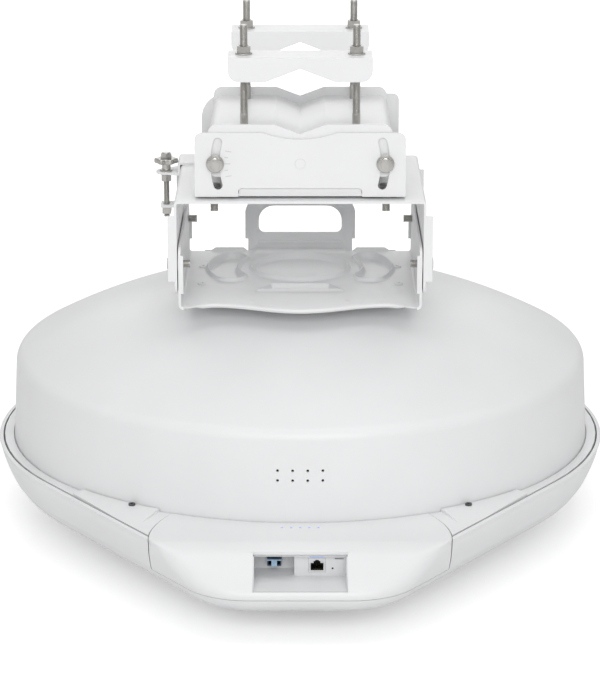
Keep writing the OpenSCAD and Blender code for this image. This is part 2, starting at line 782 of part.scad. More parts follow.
arm_gap = arm_half_w - sheet_t - ear_half_w;
arm_y = [-150, 57];
arm_foot_z = [182, 196];
arm_lip_z = [196, 262];
arm_lip = 6.5;
thin_nut_h = 4;
bracket_bolt_places = [[-84.5, -125], [84.5, -125], [-84.5, 31], [84.5, 31]];

// Arc-shaped hole for a bolt at place that swings about the elevation pivot.
module swing_slot(place, r, margin) {
    from_pivot = place - pivot_yz;
    rest = atan2(from_pivot.y, from_pivot.x);
    low = rest + elevation_range[0] - margin;
    high = rest + elevation_range[1] + margin;
    translate(pivot_yz) polygon(arc_slot(norm(from_pivot), r, low, high));
}

// One arm with its bend and its two turned-out lips, on the +X side.
module arm() {
    inner = arm_half_w - sheet_t;
    length = arm_y[1] - arm_y[0];
    difference() {
        intersection() {
            plate_xz(arm_y[0], length) bend_section(arm_half_w, plate_z, arm_foot_z[0], 4, sheet_t);
            plate_yz(0, 200) polygon(rounded([
                [arm_y[0], arm_foot_z[0], 10], [arm_y[0] + 40, arm_foot_z[0], 30],
                [arm_y[1], arm_foot_z[1], 6],
                [arm_y[1], plate_z + 9, 0], [arm_y[0], plate_z + 9, 0]
            ]));
        }
        plate_yz(inner - cut, sheet_t + 2 * cut) {
            translate(pivot_yz) circle(r = hole_r);
            swing_slot(lock_yz, slot_r, 0.3);
        }
    }
    for (y = [arm_y[0], arm_y[1] - sheet_t])
        translate([inner + 0.5, y, arm_lip_z[0]])
            cube([arm_lip + sheet_t - 0.5, sheet_t, arm_lip_z[1] - arm_lip_z[0]]);
}

module elevation_bracket() {
    color(white_paint) {
        difference() {
            union() {
                translate([-arm_half_w + 4.5, arm_y[0], plate_z - sheet_t])
                    cube([2 * arm_half_w - 9, arm_y[1] - arm_y[0], sheet_t]);
                both_sides() arm();
            }
            for (p = bracket_bolt_places) translate([p.x, p.y, plate_z - 5]) cylinder(h = 10, r = hole_r);
            // Window in the left arm for the base bracket's lug.
            plate_yz(-arm_half_w - 10, 14)
                polygon([[11, 220], [37.5, 220], [37.5, 258], [34, 261.5], [8, 261.5], [8, 223]]);
        }
    }
}

// ---- Azimuth bracket: a channel bolted on top of the elevation bracket ----

azimuth_y = [-141, 57];
azimuth_top_z = 343;
azimuth_web_z = plate_z + strap_t + 0.1;
notch_half = 60.5;
notch_top_z = 288;
notch_depth = 2.7;
tab_h = 7.8;

// Front or rear flange. The top corner on the -X side has its own radius.
module azimuth_flange(y, left_corner) {
    half = azimuth_half_w;
    dip_r = (pow(36, 2) + pow(6.5, 2)) / 13;
    plate_xz(y, sheet_t) difference() {
        polygon(rounded([
            [-half, azimuth_web_z, 0], [half, azimuth_web_z, 0],
            [half, azimuth_top_z, 7], [-half, azimuth_top_z, left_corner]
        ], 8));
        translate([0, azimuth_top_z - 6.5 + dip_r]) circle(r = dip_r, $fn = 180);
        translate([0, azimuth_z]) {
            circle(r = 5.06);
            for (side = [0, 180]) rotate(side)
                polygon(arc_slot(azimuth_bolt_r, slot_r, -azimuth_slot_angle, azimuth_slot_angle));
        }
        polygon(rounded([
            [-notch_half, azimuth_web_z - cut, 0], [notch_half, azimuth_web_z - cut, 0],
            [notch_half, notch_top_z, 3], [-notch_half, notch_top_z, 3]
        ]));
    }
}

module azimuth_bracket() {
    color(white_paint) {
        difference() {
            translate([-azimuth_half_w, azimuth_y[0], azimuth_web_z])
                cube([2 * azimuth_half_w, azimuth_y[1] - azimuth_y[0], sheet_t]);
            for (p = bracket_bolt_places)
                translate([p.x, p.y, azimuth_web_z - 1]) cylinder(h = 5, r = hole_r);
            translate([-40, -90, azimuth_web_z - 1]) cube([80, 90, 5]);
            for (y = [azimuth_y[0] - cut, azimuth_y[1] - notch_depth])
                translate([-notch_half, y, azimuth_web_z - 1]) cube([2 * notch_half, notch_depth + cut, 5]);
        }
        // Tabs that stand in the notches of the two flanges, a little behind them.
        for (y = [azimuth_y[0] + notch_depth, azimuth_y[1] - notch_depth - sheet_t])
            translate([-notch_half + 0.5, y, azimuth_web_z]) cube([2 * notch_half - 1, sheet_t, tab_h]);
        azimuth_flange(azimuth_y[0], 7);
        azimuth_flange(azimuth_y[1] - sheet_t, 26);
    }
}

module bracket_bolts() {
    color(steel) for (p = bracket_bolt_places) translate([p.x, p.y, azimuth_web_z + sheet_t]) {
        ring(washer_r, bolt_r, washer_t);
        translate([0, 0, washer_t - 0.05]) hex(nut_flat, 5.3);
        translate([0, 0, -20]) cylinder(h = 23, r = bolt_r - 0.02);
    }
    color(steel) for (p = bracket_bolt_places)
        translate([p.x, p.y, plate_z - sheet_t - thin_nut_h]) nut(thin_nut_h);
}

module bracket_spacers() {
    color(steel) for (i = [0, 1, 3])
        translate([bracket_bolt_places[i].x, bracket_bolt_places[i].y, plate_z + 0.05])
            ring(washer_r, bolt_r + 0.1, strap_t);
}

// Strap between the two brackets, stepped down outside the arm to hold the adjuster screw.
module adjuster_strap() {
    flat_z = plate_z + 0.05;
    leg_x = -arm_half_w - 0.5;
    color(white_paint) difference() {
        union() {
            intersection() {
                plate_xz(10, 42) polygon([
                    [-62, flat_z], [-62, flat_z + strap_t], [leg_x - 1.2, flat_z + strap_t],
                    [leg_x - strap_t, flat_z + 1.2], [leg_x - strap_t, strap_low_z + strap_t],
                    [screw_xy.x, strap_low_z + strap_t], [screw_xy.x, strap_low_z],
                    [leg_x - 1.2, strap_low_z], [leg_x, strap_low_z + 1.2], [leg_x, flat_z]
                ]);
                translate([-200, 0, 200]) linear_extrude(100)
                    polygon([[138, 10], [138, 52], [76, 52], [62.5, 36], [62.5, 13.4], [70, 10]]);
            }
            translate([screw_xy.x, screw_xy.y, strap_low_z]) cylinder(h = strap_t, r = 10.5);
        }
        translate([bracket_bolt_places[2].x, bracket_bolt_places[2].y, plate_z - 1])
            cylinder(h = 5, r = hole_r);
        translate([screw_xy.x, screw_xy.y, strap_low_z - cut]) cylinder(h = 5, r = 3.08);
    }
}

// ---- Adjuster: a knob on a screw that tilts the head ----

module adjuster_screw() {
    color(steel) translate([screw_xy.x, screw_xy.y, 219.4]) {
        cylinder(h = 62, r = 3);
        cylinder(h = 1, r = 2.6);
    }
}

module adjuster_knob() {
    star = [for (a = [0 : 5 : 355]) (knob_r - 1.3 + 1.3 * cos(6 * a)) * [cos(a + 15), sin(a + 15)]];
    color(steel) translate([screw_xy.x, screw_xy.y, strap_low_z + strap_t + 0.05]) difference() {
        union() {
            cylinder(h = 1.4, r = 6.6);
            cylinder(h = 9, r = 4.6);
            translate([0, 0, 8]) linear_extrude(5.2) polygon(star);
            translate([0, 0, 12]) hex(11, 6.4);
            translate([0, 0, 18]) cylinder(h = 1.3, r = 4.4);
        }
        translate([0, 0, -cut]) cylinder(h = 16, r = 3.03);
    }
}

module adjuster_nut() {
    color(steel) translate([screw_xy.x, screw_xy.y, strap_low_z - 0.05]) mirror([0, 0, 1]) {
        ring(6.8, 3.03, 1.5);
        translate([0, 0, 1.45]) nut(7, 10, 3.03);
    }
}

// ---- Pole bracket: a notched saddle that the pole lies in, turning inside the azimuth bracket ----

pole_y = [-138, 54];
pole_flange_t = 4;
saddle_z = 342;
saddle_t = 3.5;

// Half outline of the saddle's cross-section, from the middle to the foot of its side wall.
function saddle_side(side) = [
    [side * pole_notch.x, saddle_z, 0], [side * pole_half_w, saddle_z, 9], [side * pole_half_w, 307, 0],
    [side * (pole_half_w - saddle_t), 305.9, 0], [side * (pole_half_w - saddle_t), saddle_z - saddle_t, 5.5],
    [side * (pole_notch.x + 0.6), saddle_z - saddle_t, 0]
];

module pole_flange(y) {
    half = pole_half_w;
    plate_xz(y, pole_flange_t) difference() {
        polygon(rounded([
            [-half, 303, 3], [-84, 299, 4], [84, 299, 4], [half, 303, 3],
            [half, pole_top_z, 9], [pole_notch.x, pole_top_z, 0], [0, pole_top_z - pole_notch.y, 0],
            [-pole_notch.x, pole_top_z, 0], [-half, pole_top_z, 9]
        ]));
        translate([0, azimuth_z]) circle(r = 4);
        for (side = [-1, 1]) translate([side * azimuth_bolt_r, azimuth_z]) circle(r = bolt_r + 0.05);
    }
}

module pole_bracket() {
    left = saddle_side(-1);
    color(white_paint) {
        difference() {
            plate_xz(pole_y[0] + 2, pole_y[1] - pole_y[0] - 4) polygon(rounded(concat(
                [[0, saddle_z - pole_notch.y, 0]], saddle_side(1),
                [[0, saddle_z - saddle_t - pole_notch.y, 0]], [for (i = [5 : -1 : 0]) left[i]]
            )));
            for (x = [-rod_x, rod_x], y = rod_y) translate([x, y, 330]) cylinder(h = 20, r = hole_r);
            // Room for the azimuth bolts and their nuts at the ends of the side walls.
            both_sides() for (y = [pole_y[0], pole_y[1] - 15])
                translate([azimuth_bolt_r - 9, y, azimuth_z - 9]) cube([20, 15, 18]);
        }
        pole_flange(pole_y[0]);
        pole_flange(pole_y[1] - pole_flange_t);
    }
}

// Four bolts that stand up through the saddle, with their heads under it and thinner free ends.
module clamp_rods() {
    foot_z = saddle_z - saddle_t - 2;
    end_z = bar_top_z + 9.3;
    color(steel) for (x = [-rod_x, rod_x], y = rod_y) translate([x, y, 0]) {
        translate([0, 0, foot_z - 3.35]) hex(nut_flat, 5.3);
        translate([0, 0, foot_z]) cylinder(h = end_z - foot_z, r = bolt_r);
        translate([0, 0, end_z - cut]) cylinder(h = rod_top_z - end_z, r = rod_end_r);
        translate([0, 0, rod_top_z - 1]) cylinder(h = 1, r1 = rod_end_r, r2 = rod_end_r - 0.9);
    }
}

module azimuth_bolts() {
    color(steel) for (side = [-1, 1]) translate([side * azimuth_bolt_r, 0, azimuth_z]) {
        translate([0, azimuth_y[0] - 0.05, 0]) rotate([90, 0, 0]) flange_bolt(17);
        translate([0, azimuth_y[1] + 0.05, 0]) rotate([-90, 0, 0]) flange_bolt(17);
    }
}

module azimuth_nuts() {
    color(steel) for (side = [-1, 1]) translate([side * azimuth_bolt_r, 0, azimuth_z]) {
        translate([0, pole_y[0] + pole_flange_t + 0.02, 0]) rotate([-90, 30, 0]) nut();
        translate([0, pole_y[1] - pole_flange_t - 0.02, 0]) rotate([90, 30, 0]) nut();
    }
}

// Pins that the azimuth bracket turns on, pressed into the pole bracket's flanges.
module azimuth_pivot_pins() {
    color([0.86, 0.86, 0.86]) for (end = [0, 1])
        translate([0, end == 0 ? azimuth_y[0] - 0.6 : azimuth_y[1] + 0.6, azimuth_z])
            rotate([end == 0 ? -90 : 90, 0, 0]) {
                cylinder(h = 3.55, r = 5);
                translate([0, 0, 3.5]) cylinder(h = 6, r = 3.99);
            }
}

// ---- Pole clamps: two notched bars over the rods ----

bar_t = 3;
bar_notch = [34, 13];

module clamp_bar(y) {
    half = bar_size.x / 2;
    low = bar_top_z - bar_size.z;
    front = y - bar_size.y / 2;
    color(white_paint) {
        difference() {
            translate([-half, front, bar_top_z - bar_t]) cube([bar_size.x, bar_size.y, bar_t]);
            for (x = [-rod_x, rod_x]) translate([x, y, bar_top_z - 5]) cylinder(h = 10, r = hole_r + 0.3);
        }
        for (at = [front, front + bar_size.y - bar_t]) plate_xz(at, bar_t) polygon(rounded([
            [-half, bar_top_z - 0.1, 0], [-half, low, 11], [-bar_notch.x, low, 0], [0, low + bar_notch.y, 0],
            [bar_notch.x, low, 0], [half, low, 11], [half, bar_top_z - 0.1, 0]
        ]));
    }
}

module clamp_nuts(y) {
    color(steel) for (x = [-rod_x, rod_x]) translate([x, y, bar_top_z + washer_t + 0.04]) nut();
}

module clamp_washers(y) {
    color(steel) for (x = [-rod_x, rod_x]) translate([x, y, bar_top_z + 0.02])
        ring(washer_r, bolt_r + 0.1, washer_t);
}

module front_clamp_bar() { clamp_bar(rod_y[0]); }
module front_clamp_nuts() { clamp_nuts(rod_y[0]); }
module front_clamp_washers() { clamp_washers(rod_y[0]); }
module rear_clamp_bar() { clamp_bar(rod_y[1]); }
module rear_clamp_nuts() { clamp_nuts(rod_y[1]); }
module rear_clamp_washers() { clamp_washers(rod_y[1]); }

pole_bracket();
clamp_rods();
azimuth_bolts();
azimuth_nuts();
azimuth_pivot_pins();
front_clamp_bar();
front_clamp_nuts();
front_clamp_washers();
rear_clamp_bar();
rear_clamp_nuts();
rear_clamp_washers();
azimuth_bracket();
elevation_bracket();
bracket_bolts();
bracket_spacers();
adjuster_strap();
adjuster_screw();
adjuster_knob();
adjuster_nut();
base_bracket();
pivot_bolts();
lock_bolts();
arm_washers();
adjuster_block();
base_screws();
rear_housing();
rear_frame();
frame_screws();
rim_seal();
front_radome();
chin_cover();
port_bay();
port_board();
rj45_jack();
rj45_contacts();
rj45_light();
sfp_cage();
sfp_module();
sfp_bail();
reset_button();
status_lights();
port_cable();
vent_membrane();
main_reflector();
reflector_screws();
feed_tube();
feed_cone();
subreflector();
rf_module();
main_board();
board_screws();
shield_cans();
thermal_pad();
heat_sink();
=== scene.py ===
import json
import math

import bmesh
import bpy
import numpy as np
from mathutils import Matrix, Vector


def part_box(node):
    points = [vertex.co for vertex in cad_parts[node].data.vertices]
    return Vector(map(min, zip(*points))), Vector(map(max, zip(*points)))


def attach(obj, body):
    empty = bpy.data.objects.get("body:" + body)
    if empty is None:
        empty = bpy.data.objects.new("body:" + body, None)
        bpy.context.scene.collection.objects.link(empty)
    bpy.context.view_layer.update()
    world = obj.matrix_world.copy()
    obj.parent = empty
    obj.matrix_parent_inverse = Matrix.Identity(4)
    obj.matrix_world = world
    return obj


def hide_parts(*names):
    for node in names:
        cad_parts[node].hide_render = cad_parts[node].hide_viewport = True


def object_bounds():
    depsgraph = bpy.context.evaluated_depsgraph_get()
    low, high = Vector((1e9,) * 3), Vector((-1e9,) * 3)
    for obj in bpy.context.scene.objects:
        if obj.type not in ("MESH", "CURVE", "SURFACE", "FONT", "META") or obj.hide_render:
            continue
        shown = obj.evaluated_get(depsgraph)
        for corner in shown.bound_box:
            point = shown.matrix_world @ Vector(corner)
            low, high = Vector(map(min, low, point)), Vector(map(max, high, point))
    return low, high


# Looks of the outdoor wireless bridge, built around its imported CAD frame.
# Everything is in metres in the row frame: +Z is the dish axis towards the pole mount, -Y is the port chin.
# Shapes are worked out in millimetres, and MM turns them into metres when a mesh is made.

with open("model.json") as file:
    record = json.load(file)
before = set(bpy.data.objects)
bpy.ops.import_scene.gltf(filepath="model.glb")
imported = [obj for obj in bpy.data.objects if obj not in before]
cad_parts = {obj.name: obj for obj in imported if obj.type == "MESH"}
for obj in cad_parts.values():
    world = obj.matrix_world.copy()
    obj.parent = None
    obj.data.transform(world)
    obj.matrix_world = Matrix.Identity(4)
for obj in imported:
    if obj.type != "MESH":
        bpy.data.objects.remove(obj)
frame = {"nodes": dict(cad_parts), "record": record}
cad_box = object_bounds()
NODES = frame["nodes"]
BODY_OF = {n: b for b, ns in frame["record"]["behaviour"]["bodies"].items() for n in ns}
SLOT_OF = {s["node"]: s["material_slot"] for s in frame["record"]["subparts"]}
MM = 0.001


def box_mm(node):
    """Lowest and highest corner of a CAD node in millimetres."""
    low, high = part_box(node)
    return np.array(low) / MM, np.array(high) / MM


# ---------------------------------------------------------------- materials


class Shader:
    """A small helper that adds nodes to one material and joins them."""

    def __init__(self, name):
        self.material = bpy.data.materials.new(name)
        self.material.use_nodes = True
        self.tree = self.material.node_tree
        self.bsdf = self.tree.nodes["Principled BSDF"]
        self.place = self.add("ShaderNodeTexCoord").outputs["Object"]

    def add(self, kind, **values):
        node = self.tree.nodes.new(kind)
        for key, value in values.items():
            setattr(node, key, value)
        return node

    def join(self, source, target):
        self.tree.links.new(source, target)

    def noise(self, scale, detail=3.0, stretch=(1, 1, 1)):
        """Noise of about one spot per 1/scale metres, stretched along the axes."""
        spread = self.add("ShaderNodeMapping")
        spread.inputs["Scale"].default_value = stretch
        texture = self.add("ShaderNodeTexNoise")
        texture.inputs["Scale"].default_value = scale
        texture.inputs["Detail"].default_value = detail
        self.join(self.place, spread.inputs["Vector"])
        self.join(spread.outputs["Vector"], texture.inputs["Vector"])
        return texture.outputs["Fac"]

    def remap(self, value, low, high, from_low=0.3, from_high=0.7):
        node = self.add("ShaderNodeMapRange")
        node.inputs["From Min"].default_value = from_low
        node.inputs["From Max"].default_value = from_high
        node.inputs["To Min"].default_value = low
        node.inputs["To Max"].default_value = high
        self.join(value, node.inputs["Value"])
        return node.outputs["Result"]

    def mix(self, factor, a, b):
        """Mix of two colours, each a socket or three numbers, by a factor's socket."""
        node = self.add("ShaderNodeMix", data_type="RGBA")
        self.join(factor, node.inputs["Factor"])
        colour_a, colour_b, result = node.inputs[6], node.inputs[7], node.outputs[2]
        for value, socket in ((a, colour_a), (b, colour_b)):
            if isinstance(value, (tuple, list)):
                socket.default_value = (*value, 1.0)
            else:
                self.join(value, socket)
        return result

    def bump(self, height, depth, strength, below=None):
        node = self.add("ShaderNodeBump")
        node.inputs["Distance"].default_value = depth
        node.inputs["Strength"].default_value = strength
        self.join(height, node.inputs["Height"])
        if below is not None:
            self.join(below, node.inputs["Normal"])
        return node.outputs["Normal"]

    def edges(self, radius):
        """One on edges sharper than the given radius and nought on flat faces."""
        rounded = self.add("ShaderNodeBevel", samples=4)
        rounded.inputs["Radius"].default_value = radius
        true_normal = self.add("ShaderNodeNewGeometry").outputs["Normal"]
        dot = self.add("ShaderNodeVectorMath", operation="DOT_PRODUCT")
        self.join(rounded.outputs["Normal"], dot.inputs[0])
        self.join(true_normal, dot.inputs[1])
        return self.remap(dot.outputs["Value"], 1.0, 0.0, 0.86, 0.985)

    def corner_shade(self, distance):
        """One in corners nearer than the given distance, a mask for painted shade."""
        node = self.add("ShaderNodeAmbientOcclusion", samples=4)
        node.inputs["Distance"].default_value = distance
        return self.remap(node.outputs["AO"], 1.0, 0.0, 0.35, 0.95)


def scaled(colour, share):
    return tuple(min(1.0, c * share) for c in colour)


def moulded(name, colour, roughness, grain=0.25, blotch=0.02):
    """Moulded plastic: fine spark-eroded grain, faint cloudiness, uneven painted shade in the corners."""
    s = Shader(name)
    cloud = s.remap(s.noise(9, 4), 0.0, 1.0)
    tint = s.mix(cloud, scaled(colour, 1 - blotch), scaled(colour, 1 + blotch))
    # Painted shade: darker in corners, by an amount that varies with noise.
    painted_shade = s.add("ShaderNodeMath", operation="MULTIPLY")
    s.join(s.corner_shade(0.012), painted_shade.inputs[0])
    s.join(s.remap(s.noise(60, 4), 0.012, 0.108), painted_shade.inputs[1])
    tint = s.mix(painted_shade.outputs[0], tint, scaled(colour, 0.45))
    s.join(tint, s.bsdf.inputs["Base Color"])
    s.join(s.remap(s.noise(35, 5), roughness - 0.06, roughness + 0.06), s.bsdf.inputs["Roughness"])
    waves = s.bump(s.noise(45, 2), 0.0003, 0.10)
    s.join(s.bump(s.noise(1500, 3), 0.00012, grain, waves), s.bsdf.inputs["Normal"])
    return s.material


def powder_coated(name, colour):
    """Powder coat on steel: orange peel, fine sparkle in the roughness, edges where the coat is thin."""
    s = Shader(name)
    cloud = s.remap(s.noise(14, 4), 0.0, 1.0)
    tint = s.mix(cloud, scaled(colour, 0.985), scaled(colour, 1.01))
    thin = s.add("ShaderNodeMath", operation="MULTIPLY")
    s.join(s.edges(0.0009), thin.inputs[0])
    s.join(s.remap(s.noise(220, 5), 0.0, 0.35, 0.45, 0.75), thin.inputs[1])
    tint = s.mix(thin.outputs[0], tint, scaled(colour, 0.72))
    # Painted shade: darker in corners, by an amount that varies with noise.
    painted_shade = s.add("ShaderNodeMath", operation="MULTIPLY")
    s.join(s.corner_shade(0.008), painted_shade.inputs[0])
    s.join(s.remap(s.noise(80, 4), 0.0, 0.14), painted_shade.inputs[1])
    tint = s.mix(painted_shade.outputs[0], tint, scaled(colour, 0.5))
    s.join(tint, s.bsdf.inputs["Base Color"])
    s.join(s.remap(s.noise(180, 5), 0.36, 0.5), s.bsdf.inputs["Roughness"])
    peel = s.bump(s.noise(420, 2), 0.00018, 0.22)
    s.join(s.bump(s.noise(2600, 2), 0.00006, 0.2, peel), s.bsdf.inputs["Normal"])
    s.bsdf.inputs["Coat Weight"].default_value = 0.12
    s.bsdf.inputs["Coat Roughness"].default_value = 0.3
    return s.material


def bare_metal(name, colour, roughness, streaks=(1, 1, 14), scratch=0.25):
    """Bare metal: brushed streaks, small scratches, painted shade in the corners and brighter edges."""
    s = Shader(name)
    cloud = s.remap(s.noise(120, 5), 0.0, 1.0)
    tint = s.mix(cloud, scaled(colour, 0.88), scaled(colour, 1.06))
    tint = s.mix(s.remap(s.edges(0.0005), 0.0, 0.5, 0.0, 1.0), tint, scaled(colour, 1.25))
    # Painted shade: darker in corners, by an amount that varies with noise.
    painted_shade = s.add("ShaderNodeMath", operation="MULTIPLY")
    s.join(s.corner_shade(0.003), painted_shade.inputs[0])
    s.join(s.remap(s.noise(260, 4), 0.0, 0.24), painted_shade.inputs[1])
    tint = s.mix(painted_shade.outputs[0], tint, scaled(colour, 0.3))
    s.join(tint, s.bsdf.inputs["Base Color"])
    s.bsdf.inputs["Metallic"].default_value = 1.0
    lines = s.noise(900, 4, streaks)
    s.join(s.remap(lines, roughness - 0.08, roughness + 0.1), s.bsdf.inputs["Roughness"])
    s.join(s.bump(lines, 0.00005, scratch), s.bsdf.inputs["Normal"])
    s.bsdf.inputs["Anisotropic"].default_value = 0.35
    return s.material


def glowing(name, colour, glow, strength):
    """Clear plastic that glows a little unevenly."""
    s = Shader(name)
    tint = s.mix(s.remap(s.noise(700, 3), 0.0, 1.0), scaled(colour, 0.9), colour)
    s.join(tint, s.bsdf.inputs["Base Color"])
    s.bsdf.inputs["Emission Color"].default_value = (*glow, 1.0)
    s.join(s.remap(s.noise(400, 2), 0.8 * strength, 1.2 * strength), s.bsdf.inputs["Emission Strength"])
    s.join(s.remap(s.noise(900, 2), 0.15, 0.3), s.bsdf.inputs["Roughness"])
    s.join(s.bump(s.noise(1200, 2), 0.00005, 0.15), s.bsdf.inputs["Normal"])
    return s.material


def circuit_board(name):
    """Lacquered board: traces as stretched bands under a glossy green lacquer."""
    s = Shader(name)
    across = s.add("ShaderNodeTexWave", wave_type="BANDS", bands_direction="X")
    across.inputs["Scale"].default_value = 300
    across.inputs["Distortion"].default_value = 7
    across.inputs["Detail"].default_value = 2
    s.join(s.place, across.inputs["Vector"])
    traces = s.remap(across.outputs["Fac"], 0.0, 1.0, 0.55, 0.7)
    s.join(s.mix(traces, (0.012, 0.11, 0.05), (0.03, 0.23, 0.10)), s.bsdf.inputs["Base Color"])
    s.join(s.bump(traces, 0.0001, 0.5), s.bsdf.inputs["Normal"])
    s.join(s.remap(s.noise(200, 3), 0.2, 0.35), s.bsdf.inputs["Roughness"])
    s.bsdf.inputs["Coat Weight"].default_value = 0.5
    return s.material


# One material for each material slot in the record.
MATERIALS = {
    "white_coat": powder_coated("white_coat", (0.83, 0.833, 0.838)),
    "white_shell": moulded("white_shell", (0.80, 0.805, 0.81), 0.42, grain=0.18),
    "stainless": bare_metal("stainless", (0.56, 0.55, 0.525), 0.33),
    "dark_screw": bare_metal("dark_screw", (0.12, 0.12, 0.125), 0.38),
    "seal_rubber": moulded("seal_rubber", (0.2, 0.205, 0.21), 0.75, grain=0.4, blotch=0.1),
    "bay_plastic": moulded("bay_plastic", (0.76, 0.765, 0.77), 0.5, grain=0.3),
    "board_green": circuit_board("board_green"),
    "jack_metal": bare_metal("jack_metal", (0.86, 0.86, 0.87), 0.5),
    "gold": bare_metal("gold", (0.83, 0.6, 0.22), 0.22),
    "light_guide": glowing("light_guide", (0.22, 0.38, 0.85), (0.2, 0.4, 1.0), 0.3),
    "blue_plastic": moulded("blue_plastic", (0.045, 0.075, 0.14), 0.35, grain=0.3, blotch=0.1),
    "bail_blue": moulded("bail_blue", (0.42, 0.6, 0.78), 0.3, grain=0.2, blotch=0.05),
    "black_plastic": moulded("black_plastic", (0.015, 0.015, 0.017), 0.5, grain=0.3, blotch=0.2),
    "status_lens": glowing("status_lens", (0.35, 0.4, 0.85), (0.25, 0.35, 1.0), 0.35),
    "cable_jacket": moulded("cable_jacket", (0.05, 0.05, 0.055), 0.5, grain=0.3, blotch=0.15),
    "dish_aluminium": bare_metal("dish_aluminium", (0.74, 0.75, 0.76), 0.3, streaks=(1, 1, 6)),
    "feed_plastic": moulded("feed_plastic", (0.82, 0.8, 0.74), 0.4),
    "cast_aluminium": bare_metal("cast_aluminium", (0.5, 0.51, 0.53), 0.5, streaks=(1, 1, 1), scratch=0.5),
    "gap_pad": moulded("gap_pad", (0.28, 0.36, 0.52), 0.7, grain=0.5, blotch=0.12),
    "mark_ink": moulded("mark_ink", (0.62, 0.625, 0.63), 0.55, grain=0.3),
    "washer_nylon": moulded("washer_nylon", (0.78, 0.78, 0.75), 0.4),
}

# ---------------------------------------------------------------- mesh tools


def new_object(name, mesh):
    obj = bpy.data.objects.new(name, mesh)
    bpy.context.scene.collection.objects.link(obj)
    return obj


def mesh_of(name, points_mm, faces):
    mesh = bpy.data.meshes.new(name)
    mesh.from_pydata([tuple(p) for p in np.asarray(points_mm, float) * MM], [], faces)
    mesh.validate()
    return mesh


def smooth(mesh, sharp_deg):
    mesh.shade_smooth()
    mesh.set_sharp_from_angle(angle=math.radians(sharp_deg))


def bake(obj):
    """Applies an object's modifiers to its mesh."""
    graph = bpy.context.evaluated_depsgraph_get()
    mesh = bpy.data.meshes.new_from_object(obj.evaluated_get(graph))
    obj.modifiers.clear()
    obj.data = mesh


def carve(obj, cutter, operation="DIFFERENCE"):
    """Exact boolean of obj with cutter, which is then removed."""
    step = obj.modifiers.new("carve", "BOOLEAN")
    step.operation = operation
    step.solver = "EXACT"
    step.object = cutter
    bpy.context.view_layer.update()
    bake(obj)
    bpy.data.objects.remove(cutter)


def outward(mesh):
    """Merges doubled points and turns every face outwards."""
    work = bmesh.new()
    work.from_mesh(mesh)
    bmesh.ops.remove_doubles(work, verts=work.verts, dist=2e-6)
    bmesh.ops.dissolve_degenerate(work, edges=work.edges, dist=1e-6)
    bmesh.ops.recalc_face_normals(work, faces=work.faces)
    work.to_mesh(mesh)
    work.free()


def rings_mesh(name, rings, closed_tube=False):
    """Skin over rings of equal length. Its ends are closed with fans, or joined to each other."""
    rings = [np.asarray(r, float) for r in rings]
    n = len(rings[0])
    points = [p for r in rings for p in r]
    faces = []
    for k in range(len(rings) if closed_tube else len(rings) - 1):
        a, b = k * n, (k + 1) % len(rings) * n
        faces += [(a + i, a + (i + 1) % n, b + (i + 1) % n, b + i) for i in range(n)]
    if not closed_tube:
        for ring, start, turn in ((rings[0], 0, -1), (rings[-1], (len(rings) - 1) * n, 1)):
            points.append(ring.mean(axis=0))
            tip = len(points) - 1
            faces += [(start + i, start + (i + 1) % n, tip)[::turn] for i in range(n)]
    return mesh_of(name, points, faces)


def circle_angles(count):
    return np.arange(count) * 2 * math.pi / count


def lathe_rings(profile, count):
    """Rings of count points about the Z axis, for a profile of (radius, z)."""
    angles = circle_angles(count)
    circle = np.c_[np.cos(angles), np.sin(angles)]
    return [np.c_[circle * r, np.full(count, z)] for r, z in profile]


def turned(rings, axis, origin):
    """Rings drawn along +Z, stood up along axis at origin."""
    turn = np.array(Vector((0, 0, 1)).rotation_difference(Vector(axis)).to_matrix())
    return [np.asarray(r) @ turn.T + origin for r in rings]


def joined(name, meshes):
    """One mesh from several."""
    work = bmesh.new()
    for mesh in meshes:
        work.from_mesh(mesh)
    whole = bpy.data.meshes.new(name)
    work.to_mesh(whole)
    work.free()
    return whole


def rectangle(half_width, low_y, high_y):
    """Corners of a rectangle whose middle line is x = 0."""
    return [(-half_width, low_y), (half_width, low_y), (half_width, high_y), (-half_width, high_y)]


def prism(name, outline_mm, low, high, axis="Z"):
    """Closed prism over an outline, from low to high along Z or Y."""
    outline = np.asarray(outline_mm, float)
    order = {"Z": (0, 1, 2), "Y": (0, 2, 1)}[axis]
    rings = []
    for level in (low, high):
        flat = np.c_[outline, np.full(len(outline), level)]
        rings.append(flat[:, order])
    n = len(outline)
    points = np.vstack(rings)
    faces = [tuple(range(n))[::-1], tuple(range(n, 2 * n))]
    faces += [(i, (i + 1) % n, n + (i + 1) % n, n + i) for i in range(n)]
    obj = new_object(name, mesh_of(name, points, faces))
    outward(obj.data)
    return obj


def rod(name, start, axis, length, radius, count=32):
    """Closed cylinder used as a cutter."""
    rings = turned(lathe_rings([(radius, 0), (radius, length)], count), axis, start)
    obj = new_object(name, rings_mesh(name, rings))
    outward(obj.data)
    return obj


def merged(name, parts):
    """One object from several, which are then removed."""
    mesh = joined(name, [part.data for part in parts])
    for part in parts:
        bpy.data.objects.remove(part)
    return new_object(name, mesh)


def clean_copy(node):
    """A copy of a CAD node whose flat faces are whole again."""
    work = bmesh.new()
    work.from_mesh(NODES[node].data)
    bmesh.ops.remove_doubles(work, verts=work.verts, dist=2e-6)
    bmesh.ops.dissolve_limit(work, angle_limit=math.radians(0.4), verts=work.verts, edges=work.edges,
                             use_dissolve_boundaries=False)
    bmesh.ops.recalc_face_normals(work, faces=work.faces)
    mesh = bpy.data.meshes.new(node + "_fine")
    work.to_mesh(mesh)
    work.free()
    return new_object(node + "_fine", mesh)


